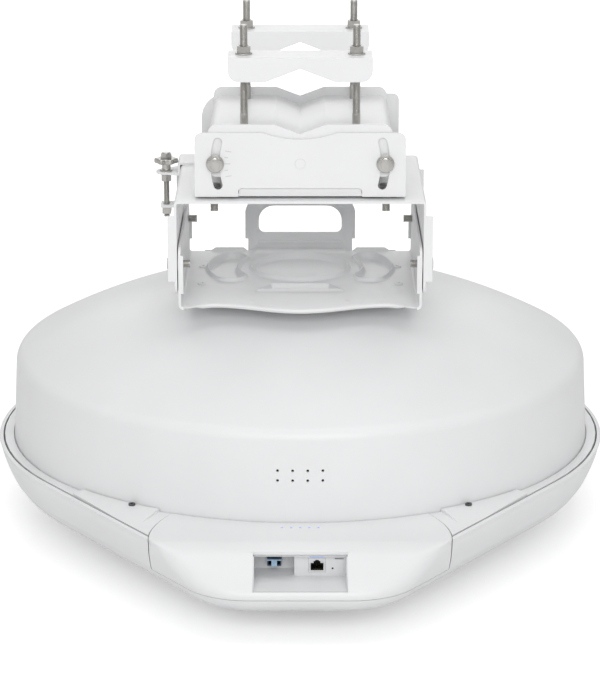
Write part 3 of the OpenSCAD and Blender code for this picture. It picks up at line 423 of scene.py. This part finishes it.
def bevel_mesh(mesh, width_mm, sharp_deg=32):
    """Rounds the edges that are sharper than an angle."""
    work = bmesh.new()
    work.from_mesh(mesh)
    limit = math.radians(sharp_deg)
    edges = [e for e in work.edges if len(e.link_faces) == 2 and e.calc_face_angle(0) > limit]
    bmesh.ops.bevel(work, geom=edges, offset=width_mm * MM, segments=2, profile=0.5,
                    affect="EDGES", clamp_overlap=True)
    work.to_mesh(mesh)
    work.free()


def finish_piece(obj, node, sharp_deg):
    """Gives a finished object its material, body and slot, and lets it stand for its CAD node."""
    smooth(obj.data, sharp_deg)
    slot = SLOT_OF[node]
    obj.data.materials.clear()
    obj.data.materials.append(MATERIALS[slot])
    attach(obj, BODY_OF[node])
    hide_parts(node)


def show_mesh(mesh, node, sharp_deg):
    """Makes the shown piece of a CAD node from a mesh."""
    outward(mesh)
    finish_piece(new_object(node + "_fine", mesh), node, sharp_deg)


def weigh_normals(obj):
    """Keeps large flat faces flat beside their small rounded edges."""
    step = obj.modifiers.new("weighted", "WEIGHTED_NORMAL")
    step.keep_sharp = True
    step.weight = 80
    bpy.context.view_layer.update()
    bake(obj)


def refined(node, bevel_mm):
    """Shows a CAD node with whole flat faces and rounded edges."""
    obj = clean_copy(node)
    bevel_mesh(obj.data, bevel_mm, sharp_deg=18)
    finish_piece(obj, node, sharp_deg=50)
    weigh_normals(obj)


# ---------------------------------------------------------------- head shells

RIM_R = 315.0
DRUM_R = 300.0
SHELL_T = 3.0
# Angle below the X axis at which the chin's straight sides leave the rim's circle.
TANGENT = math.radians(35.8)
# Height, radius, chin front and corner radius at each level of the head's outside.
HEAD_LEVELS = np.array([
    [0, RIM_R - 30, -320, 15], [0, RIM_R - 15, -335, 15], [0, RIM_R, -350, 15],
    [-5, RIM_R - 0.4, -365, 30], [-12, RIM_R - 1.6, -374.3, 45], [-21, RIM_R - 4.6, -386, 60],
    [-31.5, RIM_R - 9, -400, 70], [-40, RIM_R - 13.5, -400, 70], [-52, RIM_R - 24, -389, 70],
    [-63, RIM_R - 45, -366, 60], [-72, RIM_R - 79, -325, 50], [-79, RIM_R - 130, -262, 40],
    [-84, RIM_R - 205, -170, 15], [-86.5, RIM_R - 275, -60, 5],
])
STEPS_PER_LEVEL = 6
# Depth under the rim at which the skin's thickness is measured straight up.
FULL_INSET_DEPTH = 80
# In front of the chin, where the cutters for the chin end.
CHIN_BEYOND_Y = -420
COVER_FLOOR_Z = -39.4
COVER_SEAM_X = 142.3
SEAM_GAP = 0.8
PORT_HALF, PORT_REAR_Y, PORT_FLOOR_Z = 43.9, -365, -31.5
LED_PITCH, LED_Y, LED_R = 8.6, -313.9, 1.1


def catmull_rom(table, steps):
    """Smooth curve through the rows of a table, with some steps between two rows."""
    padded = np.vstack([2 * table[0] - table[1], table, 2 * table[-1] - table[-2]])
    rows = []
    for k in range(len(table) - 1):
        before, start, end, after = padded[k:k + 4]
        for t in np.arange(steps) / steps:
            cubic = 3 * (start - end) + after - before
            square = 2 * before - 5 * start + 4 * end - after
            rows.append(start + 0.5 * t * (end - before + t * (square + t * cubic)))
    return np.array(rows + [table[-1]])


def head_outline(radius, chin_y, corner):
    """Circle drawn out by two tangents to the chin's flat front, always with the same count of points."""
    angles = np.linspace(-TANGENT, math.pi + TANGENT, 130)
    arc = radius * np.c_[np.cos(angles), np.sin(angles)]
    tip_x = (radius + chin_y * math.sin(TANGENT)) / math.cos(TANGENT)
    turn = math.pi / 2 - TANGENT
    reach = corner * math.tan(turn / 2)
    along = np.array([math.sin(TANGENT), -math.cos(TANGENT)])
    line_end = np.array([-tip_x, chin_y]) - reach * along
    centre = np.array([-tip_x + reach, chin_y + corner])
    line = arc[-1] + np.linspace(0, 1, 26)[1:-1, None] * (line_end - arc[-1])
    sweep = np.linspace(math.pi + TANGENT, 1.5 * math.pi, 18)
    left = centre + corner * np.c_[np.cos(sweep), np.sin(sweep)]
    half = np.vstack([line, left])
    front = np.c_[np.linspace(left[-1, 0], -left[-1, 0], 30)[1:-1], np.full(28, chin_y)]
    return np.vstack([arc, half, front, (half * (-1, 1))[::-1]])


def head_solid(name, inset, open_top, rim_z):
    """Closed body of the head's outside moved inwards, reaching above the rim when its top is open."""
    rings = []
    levels = HEAD_LEVELS.copy()
    levels[:3, 0] = rim_z
    for z, radius, chin_y, corner in catmull_rom(levels, STEPS_PER_LEVEL):
        z = min(z, rim_z)
        under_deck = z > -6 and not open_top
        lift = -inset if under_deck else inset * min(1.0, -z / FULL_INSET_DEPTH)
        flat = head_outline(radius - inset, chin_y + inset, max(corner - inset, 2))
        rings.append(np.c_[flat, np.full(len(flat), z + lift)])
    if inset and open_top:
        # The first two levels only lie across the top, so the body starts at the third and goes on above it.
        rings = rings[2 * STEPS_PER_LEVEL:]
        rings = [rings[0] + (0, 0, 12)] + rings
    obj = new_object(name, rings_mesh(name, rings))
    outward(obj.data)
    return obj


def chin_plan(gap):
    """Plan of the chin cover, made smaller by gap at its side seams, which bend inwards to the rear."""
    seam = COVER_SEAM_X - gap
    step = np.arange(18, -1, -1) / 12
    right = np.vstack([np.c_[seam - 23 * step ** 2, -341 + 72 * step], [[seam, CHIN_BEYOND_Y]]])
    return np.vstack([right, (right * (-1, 1))[::-1]])


def front_radome():
    rim_z = -0.9
    shell = head_solid("front_radome_fine", 0, True, rim_z)
    carve(shell, head_solid("inside", SHELL_T, True, rim_z))
    carve(shell, prism("chin_room", chin_plan(-SEAM_GAP / 2), COVER_FLOOR_Z - 0.3, 60))
    finish_piece(shell, "front_radome", sharp_deg=40)


def chin_cover():
    deck_z = -0.1
    shell = head_solid("chin_cover_fine", 0, False, deck_z)
    carve(shell, head_solid("inside", SHELL_T, False, deck_z))
    carve(shell, prism("lip", rectangle(46, -366, -360), -7.8, -5), "UNION")
    carve(shell, prism("chin", chin_plan(SEAM_GAP / 2), COVER_FLOOR_Z + 0.3, 60), "INTERSECT")
    carve(shell, rod("drum_room", (0, 0, -40), (0, 0, 1), 80, DRUM_R + 1.2, 256))
    carve(shell, prism("port_room", rectangle(PORT_HALF, CHIN_BEYOND_Y, PORT_REAR_Y), PORT_FLOOR_Z, 30))
    holes = [rod("hole", (i * LED_PITCH, LED_Y, -6), (0, 0, 1), 12, LED_R + 0.1) for i in range(-2, 3)]
    carve(shell, merged("led_holes", holes))
    finish_piece(shell, "chin_cover", sharp_deg=40)


# ---------------------------------------------------------------- drum

WALL_TOP_R, WALL_TOP_Z, DOME_Z, EDGE_R = 296.0, 78.0, 165.0, 15.0
DRUM_FOOT_Z = -6
PEDESTAL_TOP, PEDESTAL_R, POST_R = 167.0, 44, 6.5
BASE_SCREW_PLACES = ((101, 5), (100, -62), (-101, 5), (-100, -62))
VENT_PITCH, VENT_LOW_Z, VENT_ROW_GAP, VENT_R = 14.3, 41.1, 9.7, 1.4


def drum_profile(inset):
    """Half section of the drum's skin from its foot to the middle of the dome."""
    dome_r = (EDGE_R ** 2 - (WALL_TOP_R - EDGE_R) ** 2 - (WALL_TOP_Z - DOME_Z) ** 2) / (
        2 * (WALL_TOP_Z - DOME_Z + EDGE_R))
    corner = np.array([WALL_TOP_R - EDGE_R, WALL_TOP_Z])
    middle_z = DOME_Z - dome_r
    tip = math.atan2(WALL_TOP_Z - middle_z, corner[0])
    wall = [(DRUM_R - inset - (DRUM_R - WALL_TOP_R) * k / 8, WALL_TOP_Z * k / 8) for k in range(8)]
    edge = [corner + (EDGE_R - inset) * np.array([math.cos(a), math.sin(a)])
            for a in np.linspace(0, tip, 14)]
    dome = [((dome_r - inset) * math.cos(a), middle_z + (dome_r - inset) * math.sin(a))
            for a in np.linspace(tip, math.pi / 2 - 0.004, 60)[1:]]
    return [(DRUM_R - inset, DRUM_FOOT_Z)] + wall + [tuple(p) for p in edge] + dome


def rear_housing():
    """The drum's skin with its foot, the bracket's pedestal and posts, and two rows of air holes."""
    outer, inner = drum_profile(0), drum_profile(SHELL_T)
    flange = [(DRUM_R + 9, DRUM_FOOT_Z), (DRUM_R + 9, -3.5), (DRUM_R + 0.6, -3.5), (DRUM_R, -2.9)]
    profile = flange + outer[1:] + inner[::-1]
    rings = lathe_rings(profile, 288)
    shell = new_object("rear_housing_fine", rings_mesh("rear_housing_fine", rings, closed_tube=True))
    outward(shell.data)
    inwards = np.array(outer[::-1])
    foot_z = DOME_Z - 3.2
    posts = [rod("pedestal", (0, 0, foot_z), (0, 0, 1), PEDESTAL_TOP - foot_z, PEDESTAL_R, 97)]
    for x, y in BASE_SCREW_PLACES:
        dome_z = np.interp(math.hypot(x, y), inwards[:, 0], inwards[:, 1])
        foot_z = dome_z - 2.5
        posts.append(rod("post", (x, y, foot_z), (0, 0, 1), PEDESTAL_TOP - foot_z, POST_R, 40))
    carve(shell, merged("posts", posts), "UNION")
    vents = []
    for column in (-1.5, -0.5, 0.5, 1.5):
        for row in (0, 1):
            start = (column * VENT_PITCH, -DRUM_R - 5, VENT_LOW_Z + row * VENT_ROW_GAP)
            vents.append(rod("vent", start, (0, 1, 0), 20, VENT_R, 24))
    carve(shell, merged("vents", vents))
    finish_piece(shell, "rear_housing", sharp_deg=35)


# ---------------------------------------------------------------- base bracket

FLOOR_Z, FLOOR_HALF, SHEET_T = 169.5, 115.2, 2.5
LIP_DROP, REAR_LIP_RISE = 2.6, 4.0


def soft_step(t):
    """Smooth rise from 0 to 1 over the same range of t."""
    return t * t * (3 - 2 * t)


def bead(distance, width, height):
    """Rounded ridge of the given height over points closer than width."""
    return np.where(np.abs(distance) < width, height * (1 + np.cos(math.pi * distance / width)) / 2, 0)


def dish(distance, blend, depth):
    """Flat-bottomed dip where distance is negative, with a soft wall."""
    return -depth * soft_step(np.clip(-distance / blend, 0, 1))


def floor_relief(x, y):
    """Height of the pressed pattern: a ring, two arc pads, a trapezoid pad, dimples and the rear step."""
    # Ring around the middle.
    r = np.hypot(x, y)
    z = bead(r - 50, 3.6, 4.6) + dish(r - 48, 3, 2.4)
    # Arc pads of 80 mm middle radius, which end 27 degrees to each side of the X axis.
    angle = np.arctan2(y, np.abs(x))
    end = np.clip(angle, math.radians(-27), math.radians(27))
    reach = np.hypot(np.abs(x) - 80 * np.cos(end), y - 80 * np.sin(end)) - 15.5
    z = z + bead(reach, 2.9, 3.8) + dish(reach + 1, 2.6, 3.4)
    # Trapezoid pad with its middle at y = -78.
    side = (np.abs(x) - 36 - (-78 - y) * 0.6) * 0.86
    trapezoid = np.maximum(np.abs(y + 78) - 10.5, side)
    z = z + bead(trapezoid, 2.8, 2.6) + dish(trapezoid + 1, 2.4, 3.6)
    # Two locating dimples near the front edge.
    z = z + dish(np.hypot(np.abs(x) - 47, y + 122) - 2.4, 1.2, 1.4)
    # Step up to the handle.
    step = np.clip((y - 62 + 0.05 * np.abs(x)) / 6, 0, 1)
    return z + 2.2 * soft_step(step) * np.clip((52 - np.abs(x)) / 5, 0, 1)


def floor_front(x):
    """Wavy front edge of the floor."""
    far = np.clip((np.abs(x) - 86) / 29, 0, 1)
    wave = -146.5 - 11 * np.cos(np.pi * np.minimum(np.abs(x), 86) / 86)
    return wave - 11.5 * soft_step(far)


def floor_rear(x):
    """Rear edge of the floor, a little further back at the handle."""
    t = np.clip((60 - np.abs(x)) / 8, 0, 1)
    return 71.5 + 3.9 * t


def pressed_floor():
    """The floor as one sheet with its pattern, its turned-down front lip and its turned-up rear lips.

    The grid has front rows around the front lip's bend, flat rows, and rear rows around the rear lips' bend.
    """
    xs = np.linspace(-FLOOR_HALF, FLOOR_HALF, 210)
    front, flat, rear = 9, 200, 7
    share = np.r_[np.zeros(front), np.linspace(0, 1, flat), np.ones(rear)]
    front_turn = np.r_[np.linspace(1, 0, front), np.zeros(flat + rear)]
    rear_turn = np.r_[np.zeros(front + flat), np.linspace(0, 1, rear + 1)[1:]]
    grid_x, grid_s = np.meshgrid(xs, share, indexing="ij")
    front_lip = np.clip((FLOOR_HALF - 11 - np.abs(grid_x)) / 8, 0, 1)
    rear_lip = np.clip((np.abs(grid_x) - 56) / 4, 0, 1) * np.clip((96 - np.abs(grid_x)) / 6, 0, 1)
    y = floor_front(grid_x) + 2 + grid_s * (floor_rear(grid_x) - floor_front(grid_x) - 4)
    bend = front_turn * math.pi / 2
    y_top = y - 2 * np.sin(bend) + 2 * np.sin(rear_turn * math.pi / 2)
    drop = LIP_DROP * front_lip * (1 - np.cos(bend))
    rise = REAR_LIP_RISE * rear_lip * rear_turn
    top = FLOOR_Z + floor_relief(grid_x, y) - drop + rise
    under = top - SHEET_T * (1 - 0.25 * front_turn)
    y_under = y_top + 1.6 * front_turn
    nx, ny = grid_x.shape
    upper = np.c_[grid_x.ravel(), y_top.ravel(), top.ravel()]
    lower = np.c_[grid_x.ravel(), y_under.ravel(), under.ravel()]
    count = nx * ny
    at = np.arange(count).reshape(nx, ny)
    faces = [(at[i, j], at[i + 1, j], at[i + 1, j + 1], at[i, j + 1])
             for i in range(nx - 1) for j in range(ny - 1)]
    faces += [tuple(v + count for v in f[::-1]) for f in faces]
    border = list(at[:, 0]) + list(at[-1, 1:]) + list(at[-2::-1, -1]) + list(at[0, -2:0:-1])
    loop = border + border[:1]
    faces += [(b, a, a + count, b + count) for a, b in zip(loop, loop[1:])]
    faces = [tuple(int(v) for v in f) for f in faces]
    return mesh_of("floor_sheet", np.vstack([upper, lower]), faces)


def base_bracket():
    """The CAD bracket with its flat floor cut out and the pressed sheet in its place."""
    upright = clean_copy("base_bracket")
    carve(upright, prism("floor_room", rectangle(115, -175, 75.3), 155, 173.2))
    bevel_mesh(upright.data, 0.4)
    sheet = pressed_floor()
    outward(sheet)
    mesh = joined("base_bracket_fine", [upright.data, sheet])
    bpy.data.objects.remove(upright)
    show_mesh(mesh, "base_bracket", sharp_deg=38)


# ---------------------------------------------------------------- fasteners

ROUND = 48
UP = (0, 0, 1)
M8_HEX, M8_R, M8_PITCH, M8_BORE = 13, 4.0, 1.25, 4.05
AZIMUTH_AXIS_Z, AZIMUTH_BOLT_X = 312.5, 83
AZIMUTH_NUT_FACES_Y = ((-133.98, 1), (49.98, -1))
# Node, y and z of the bolts through the ears and arms, and the arms' outer face.
SIDE_BOLTS = (("pivot_bolts", -137, 211), ("lock_bolts", 44, 212))
ARM_FACE_X = 123.45
ROD_X = 55
ROD_Y = {"front": -110, "rear": 36}
ROD_HEAD_Z, ROD_PLAIN_TOP_Z, ROD_TOP_Z = (333.2, 338.45), 356, 444
BRACKET_BOLT_X, BRACKET_BOLT_Y = 84.5, (-125, 31)
WEB_TOP_Z, THIN_NUT_Z = 282.0, (270.5, 274.48)


def hexagon_radius(flat, angles):
    """Distance from the middle to the side of a hexagon that is flat across its sides."""
    return flat / 2 / np.cos((angles + math.pi / 6) % (math.pi / 3) - math.pi / 6)


def hexagon_rings(flat, low, high, both_ends=False):
    """Rings of a hexagonal prism whose corners are turned off at the top, and at the bottom of a nut."""
    angles = circle_angles(ROUND)
    across = hexagon_radius(flat, angles)
    no_limit = 99

    def ring(limit, z, fall=0.0):
        radius = np.minimum(across, limit)
        return np.c_[radius * np.cos(angles), radius * np.sin(angles), z + fall * (across - flat / 2)]

    chamfer = flat * 0.475
    bottom = [ring(chamfer, low), ring(no_limit, low, 0.55)] if both_ends else [ring(no_limit, low)]
    return bottom + [ring(no_limit, high, -0.55), ring(chamfer + 0.02, high)]


def thread_rings(radius, pitch, low, high, depth=0.6):
    """Rings of a helical thread whose crests reach the given radius, with a chamfer at the upper end."""
    count, per_turn = 24, 7
    total = max(4, int((high - low) / pitch * per_turn))
    angles = circle_angles(count)
    rings = []
    for k in range(total + 1):
        z = low + (high - low) * k / total
        phase = (z / pitch - angles / (2 * math.pi)) % 1.0
        groove = np.clip(np.abs(phase - 0.5) * 2.6 - 0.15, 0, 1)
        end = min(1.0, (z - low) / pitch, (high - z) / pitch)
        chamfer = 0.55 * max(0.0, 1 - (high - z) / 0.8)
        r = radius - depth * groove * end - chamfer
        rings.append(np.c_[r * np.cos(angles), r * np.sin(angles), np.full(count, z)])
    return rings


def washer_rings(outer, inner, low, high):
    edge = 0.25
    return lathe_rings([(inner, low), (outer - edge, low), (outer, low + edge), (outer, high - edge),
                        (outer - edge, high), (inner, high)], ROUND)


def nut_rings(flat, low, high, bore):
    """Closed tube of rings around a nut's outside and back down its bore."""
    inside = [(bore + 0.5, high), (bore, high - 0.5), (bore, low + 0.5), (bore + 0.5, low)]
    return hexagon_rings(flat, low, high, both_ends=True) + lathe_rings(inside, ROUND)


class Hardware:
    """Collects turned and threaded shapes into one piece."""

    def __init__(self):
        self.meshes = []

    def add(self, rings, axis=UP, origin=(0, 0, 0), tube=False):
        mesh = rings_mesh("part", turned(rings, axis, np.array(origin, float)), closed_tube=tube)
        outward(mesh)
        self.meshes.append(mesh)

    def show(self, node):
        show_mesh(joined(node + "_fine", self.meshes), node, sharp_deg=24)


def add_flange_bolt(parts, axis, origin, length):
    """M8 hexagon on a round flange with a threaded shank behind it. The origin lies under the flange."""
    flange = [(4.2, 0), (8.5, 0), (8.8, 0.3), (8.8, 1.0), (8.3, 1.5), (6.9, 2.3), (4, 2.4)]
    dished_top = [(5.5, 7.32), (5.3, 7.7), (4.6, 7.7), (4.2, 7.45)]
    parts.add(lathe_rings(flange, ROUND), axis, origin)
    parts.add(hexagon_rings(M8_HEX, 1.4, 7.3) + lathe_rings(dished_top, ROUND), axis, origin)
    parts.add(thread_rings(M8_R, M8_PITCH, -length, -4.0), axis, origin)
    parts.add(lathe_rings([(M8_R - 0.01, -4.2), (M8_R - 0.01, 1)], 32), axis, origin)


def azimuth_hardware():
    """Bolts through the azimuth slots, and the nuts inside the channel."""
    low, high = box_mm("azimuth_bracket")
    bolts, nuts = Hardware(), Hardware()
    for x in (-AZIMUTH_BOLT_X, AZIMUTH_BOLT_X):
        add_flange_bolt(bolts, (0, -1, 0), (x, low[1] - 0.05, AZIMUTH_AXIS_Z), 17)
        add_flange_bolt(bolts, (0, 1, 0), (x, high[1] + 0.05, AZIMUTH_AXIS_Z), 17)
        for y, turn in AZIMUTH_NUT_FACES_Y:
            nuts.add(nut_rings(M8_HEX, 0, 6.8, M8_BORE), (0, turn, 0), (x, y, AZIMUTH_AXIS_Z), tube=True)
    bolts.show("azimuth_bolts")
    nuts.show("azimuth_nuts")


def side_hardware():
    """Pivot and lock bolts of the elevation joint."""
    for node, y, z in SIDE_BOLTS:
        bolts = Hardware()
        for side in (-1, 1):
            add_flange_bolt(bolts, (side, 0, 0), (side * ARM_FACE_X, y, z), 14.9)
        bolts.show(node)


def clamp_hardware():
    """The four long rods, and the nuts and washers on the clamp bars."""
    rods = Hardware()
    plain = [(3.9, 336), (3.98, 336.5), (3.98, ROD_PLAIN_TOP_Z)]
    for x in (-ROD_X, ROD_X):
        for y in ROD_Y.values():
            rods.add(hexagon_rings(M8_HEX, *ROD_HEAD_Z), origin=(x, y, 0))
            rods.add(lathe_rings(plain, 32), origin=(x, y, 0))
            rods.add(thread_rings(3.97, M8_PITCH, ROD_PLAIN_TOP_Z - 0.1, ROD_TOP_Z), origin=(x, y, 0))
    rods.show("clamp_rods")

    for end, y in ROD_Y.items():
        top = box_mm(end + "_clamp_bar")[1][2]
        nuts, washers = Hardware(), Hardware()
        for x in (-ROD_X, ROD_X):
            washers.add(washer_rings(8.4, 4.1, top + 0.02, top + 1.62), origin=(x, y, 0), tube=True)
            nuts.add(nut_rings(M8_HEX, top + 1.64, top + 8.44, M8_BORE), origin=(x, y, 0), tube=True)
        nuts.show(end + "_clamp_nuts")
        washers.show(end + "_clamp_washers")


def bracket_hardware():
    """Bolts with washers and thin nuts that join the two brackets."""
    bolts = Hardware()
    raised_top = [(5.6, 6.75), (5.2, 6.85)]
    for x in (-BRACKET_BOLT_X, BRACKET_BOLT_X):
        for y in BRACKET_BOLT_Y:
            spot = (x, y, WEB_TOP_Z)
            bolts.add(washer_rings(8.4, 3.9, 0, 1.6), origin=spot, tube=True)
            bolts.add(hexagon_rings(M8_HEX, 1.55, 6.7) + lathe_rings(raised_top, ROUND), origin=spot)
            bolts.add(thread_rings(3.98, M8_PITCH, -20, 2), origin=spot)
            bolts.add(nut_rings(M8_HEX, *THIN_NUT_Z, M8_BORE), origin=(x, y, 0), tube=True)
    bolts.show("bracket_bolts")


def adjuster_hardware():
    """The elevation adjuster's M6 screw, its star knob and its nut."""
    low, high = box_mm("adjuster_screw")
    x, y = ((low + high) / 2)[:2]
    screw = Hardware()
    screw.add(thread_rings(3.0, 1.0, low[2], high[2], depth=0.5), origin=(x, y, 0))
    screw.show("adjuster_screw")

    knob = Hardware()
    at = (x, y, box_mm("adjuster_knob")[0][2])
    spacer = [(3.03, 0), (6.4, 0), (6.6, 0.2), (6.6, 1.2), (6.3, 1.4), (4.9, 1.6), (4.5, 2.4), (4.5, 8.4),
              (3.03, 8.5)]
    knob.add(lathe_rings(spacer, ROUND), origin=at, tube=True)
    angles = circle_angles(144)
    star = 11.1 + 1.3 * np.cos(6 * angles)
    # Share of the star's radius and height of each ring of its disc.
    disc = [(0.30, 7.9), (0.90, 7.9), (0.975, 8.3), (1.0, 9.2), (1.0, 11.8), (0.975, 12.7), (0.90, 13.2),
            (0.5, 13.3)]
    rings = [np.c_[star * share * np.cos(angles), star * share * np.sin(angles), np.full(144, z)]
             for share, z in disc]
    knob.add(rings, origin=at)
    knob.add(hexagon_rings(11, 12.6, 18.4), origin=at)
    knob.add(lathe_rings([(4.4, 18), (4.4, 19), (4.0, 19.3), (2, 19.35)], ROUND), origin=at)
    knob.show("adjuster_knob")

    low, high = box_mm("adjuster_nut")
    nut = Hardware()
    nut.add(washer_rings(6.8, 3.1, high[2] - 1.5, high[2]), origin=(x, y, 0), tube=True)
    nut.add(nut_rings(10, low[2], high[2] - 1.55, 3.03), origin=(x, y, 0), tube=True)
    nut.show("adjuster_nut")


def base_screws():
    """Domed heads with a hexagon socket, and their shanks."""
    head_r, head_h, shank_r, length = 4.2, 1.6, 2.5, 10
    dome = [(shank_r, 0), (head_r - 0.15, 0), (head_r, 0.2), (head_r, head_h * 0.45),
            (head_r * 0.86, head_h * 0.85), (head_r * 0.62, head_h)]
    shank = [(shank_r * 0.7, -length), (shank_r, -length + 0.8), (shank_r, 0.1)]
    angles = circle_angles(ROUND)
    across = hexagon_radius(head_r * 0.84, angles)
    socket = [np.c_[across * np.cos(angles), across * np.sin(angles), np.full(ROUND, z)]
              for z in (head_h, head_h * 0.4)]
    screws = Hardware()
    for x, y in BASE_SCREW_PLACES:
        screws.add(lathe_rings(dome, ROUND) + socket, origin=(x, y, FLOOR_Z))
        screws.add(lathe_rings(shank, 24), origin=(x, y, FLOOR_Z))
    screws.show("base_screws")


# ---------------------------------------------------------------- ports and marks


def port_with_dark_sockets(node, bevel_mm, is_dark):
    """Shows a port with black faces wherever is_dark says so for a face's middle."""
    obj = clean_copy(node)
    bevel_mesh(obj.data, bevel_mm)
    finish_piece(obj, node, sharp_deg=35)
    obj.data.materials.append(MATERIALS["black_plastic"])
    for face in obj.data.polygons:
        face.material_index = int(is_dark(*(face.center / MM)))


def rj45_jack():
    """The jack with a light front and a dark socket."""
    low, high = box_mm("rj45_jack")
    wall = 1.3

    def in_socket(x, y, z):
        across = low[0] + wall < x < high[0] - wall
        return across and low[2] + wall < z < high[2] - 0.6 and low[1] + 0.25 < y < high[1] - 1

    port_with_dark_sockets("rj45_jack", 0.2, in_socket)


def sfp_module():
    """The pluggable module with its two dark fibre sockets."""
    low, high = box_mm("sfp_module")
    wall = 0.6

    def in_sockets(x, y, z):
        across = low[0] + wall < x < high[0] - wall
        return across and low[2] + wall < z < high[2] - wall and y > low[1] + wall

    port_with_dark_sockets("sfp_module", 0.25, in_sockets)


def azimuth_scale():
    """Thin printed ticks beside the left azimuth slot, every five degrees, with longer ones at the tens."""
    front = box_mm("azimuth_bracket")[0][1]
    outer_r, half_width = 74.0, 0.35
    ticks = []
    for degrees in range(-10, 11, 5):
        length = 6 if degrees % 10 == 0 else 3.5
        slope = math.radians(degrees)
        reach = np.array([outer_r, outer_r - length])
        x, z = -reach * math.cos(slope), AZIMUTH_AXIS_Z + reach * math.sin(slope)
        across = half_width * np.array([math.sin(slope), math.cos(slope)])
        outline = [(x[0] + across[0], z[0] + across[1]), (x[1] + across[0], z[1] + across[1]),
                   (x[1] - across[0], z[1] - across[1]), (x[0] - across[0], z[0] - across[1])]
        ticks.append(prism("tick", outline, front - 0.06, front + 0.05, axis="Y"))
    obj = merged("azimuth_scale", ticks)
    obj.data.materials.append(MATERIALS["mark_ink"])
    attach(obj, "azimuth_stage")


# ---------------------------------------------------------------- stage


def pale_floor():
    """Wide floor just under the part. The camera alone sees it glow, more so away from the part."""
    z = cad_box[0].z - 0.0006
    half = 20.0
    mesh = bpy.data.meshes.new("floor")
    mesh.from_pydata([(-half, -half, z), (half, -half, z), (half, half, z), (-half, half, z)], [],
                     [(0, 1, 2, 3)])
    floor = new_object("floor", mesh)
    s = Shader("floor")
    s.bsdf.inputs["Base Color"].default_value = (0.93, 0.93, 0.93, 1)
    s.bsdf.inputs["Roughness"].default_value = 0.6
    s.bsdf.inputs["Emission Color"].default_value = (1, 1, 1, 1)
    reach = s.add("ShaderNodeVectorMath", operation="LENGTH")
    s.join(s.place, reach.inputs[0])
    glow = s.remap(reach.outputs["Value"], 0.32, 0.75, from_low=0.42, from_high=2.6)
    seen = s.add("ShaderNodeMath", operation="MULTIPLY")
    s.join(glow, seen.inputs[0])
    s.join(s.add("ShaderNodeLightPath").outputs["Is Camera Ray"], seen.inputs[1])
    s.join(seen.outputs[0], s.bsdf.inputs["Emission Strength"])
    mesh.materials.append(s.material)


def studio_world():
    """White surroundings, which the camera sees at full strength and the part a little dimmer."""
    world = bpy.data.worlds.new("studio")
    bpy.context.scene.world = world
    world.use_nodes = True
    tree = world.node_tree
    seen = tree.nodes.new("ShaderNodeLightPath")
    strength = tree.nodes.new("ShaderNodeMapRange")
    strength.inputs["To Min"].default_value = 0.58
    strength.inputs["To Max"].default_value = 1.0
    tree.links.new(seen.outputs["Is Camera Ray"], strength.inputs["Value"])
    tree.links.new(strength.outputs["Result"], tree.nodes["Background"].inputs["Strength"])
    tree.nodes["Background"].inputs["Color"].default_value = (1, 1, 1, 1)


def softbox(name, place, target, size, power):
    light = bpy.data.lights.new(name, "AREA")
    light.shape = "RECTANGLE"
    light.size, light.size_y = size
    light.energy = power
    lamp = new_object(name, light)
    lamp.location = place
    lamp.rotation_mode = "QUATERNION"
    lamp.rotation_quaternion = (Vector(target) - Vector(place)).to_track_quat("-Z", "Y")


def stage():
    """Pale floor, even studio light and a camera on the side of the ports, a little above them."""
    pale_floor()
    studio_world()
    softbox("overhead", (0, -0.4, 2.8), (0, 0, 0), (2.6, 2.0), 17)
    softbox("rear", (0, 3.8, 1.7), (0, 0, 0.15), (3.0, 1.4), 16)
    softbox("front", (0, -3.6, 1.9), (0, 0, 0.15), (3.0, 1.4), 51)

    camera = bpy.data.cameras.new("camera")
    camera.sensor_width = 36
    camera.lens = 143.0
    camera.shift_x, camera.shift_y = -0.0003, 0.0034
    camera.clip_start, camera.clip_end = 0.1, 60
    lens = new_object("camera", camera)
    lens.location = (0, -2.689, 0.891)
    lens.rotation_euler = (math.radians(90 - 16.54), 0, 0)
    bpy.context.scene.camera = lens
    bpy.context.scene.view_settings.view_transform = "Standard"


# ---------------------------------------------------------------- the whole scene

for name, obj in NODES.items():
    obj.data.materials.clear()
    obj.data.materials.append(MATERIALS[SLOT_OF[name]])

front_radome()
chin_cover()
rj45_jack()
sfp_module()
azimuth_scale()
rear_housing()
base_bracket()
azimuth_hardware()
side_hardware()
clamp_hardware()
bracket_hardware()
adjuster_hardware()
base_screws()
for name in ("pole_bracket", "front_clamp_bar", "rear_clamp_bar", "azimuth_bracket", "elevation_bracket"):
    refined(name, bevel_mm=0.5)
for name in ("port_bay", "rear_frame", "azimuth_pivot_pins"):
    refined(name, bevel_mm=0.3)
refined("adjuster_strap", bevel_mm=0.2)

stage()
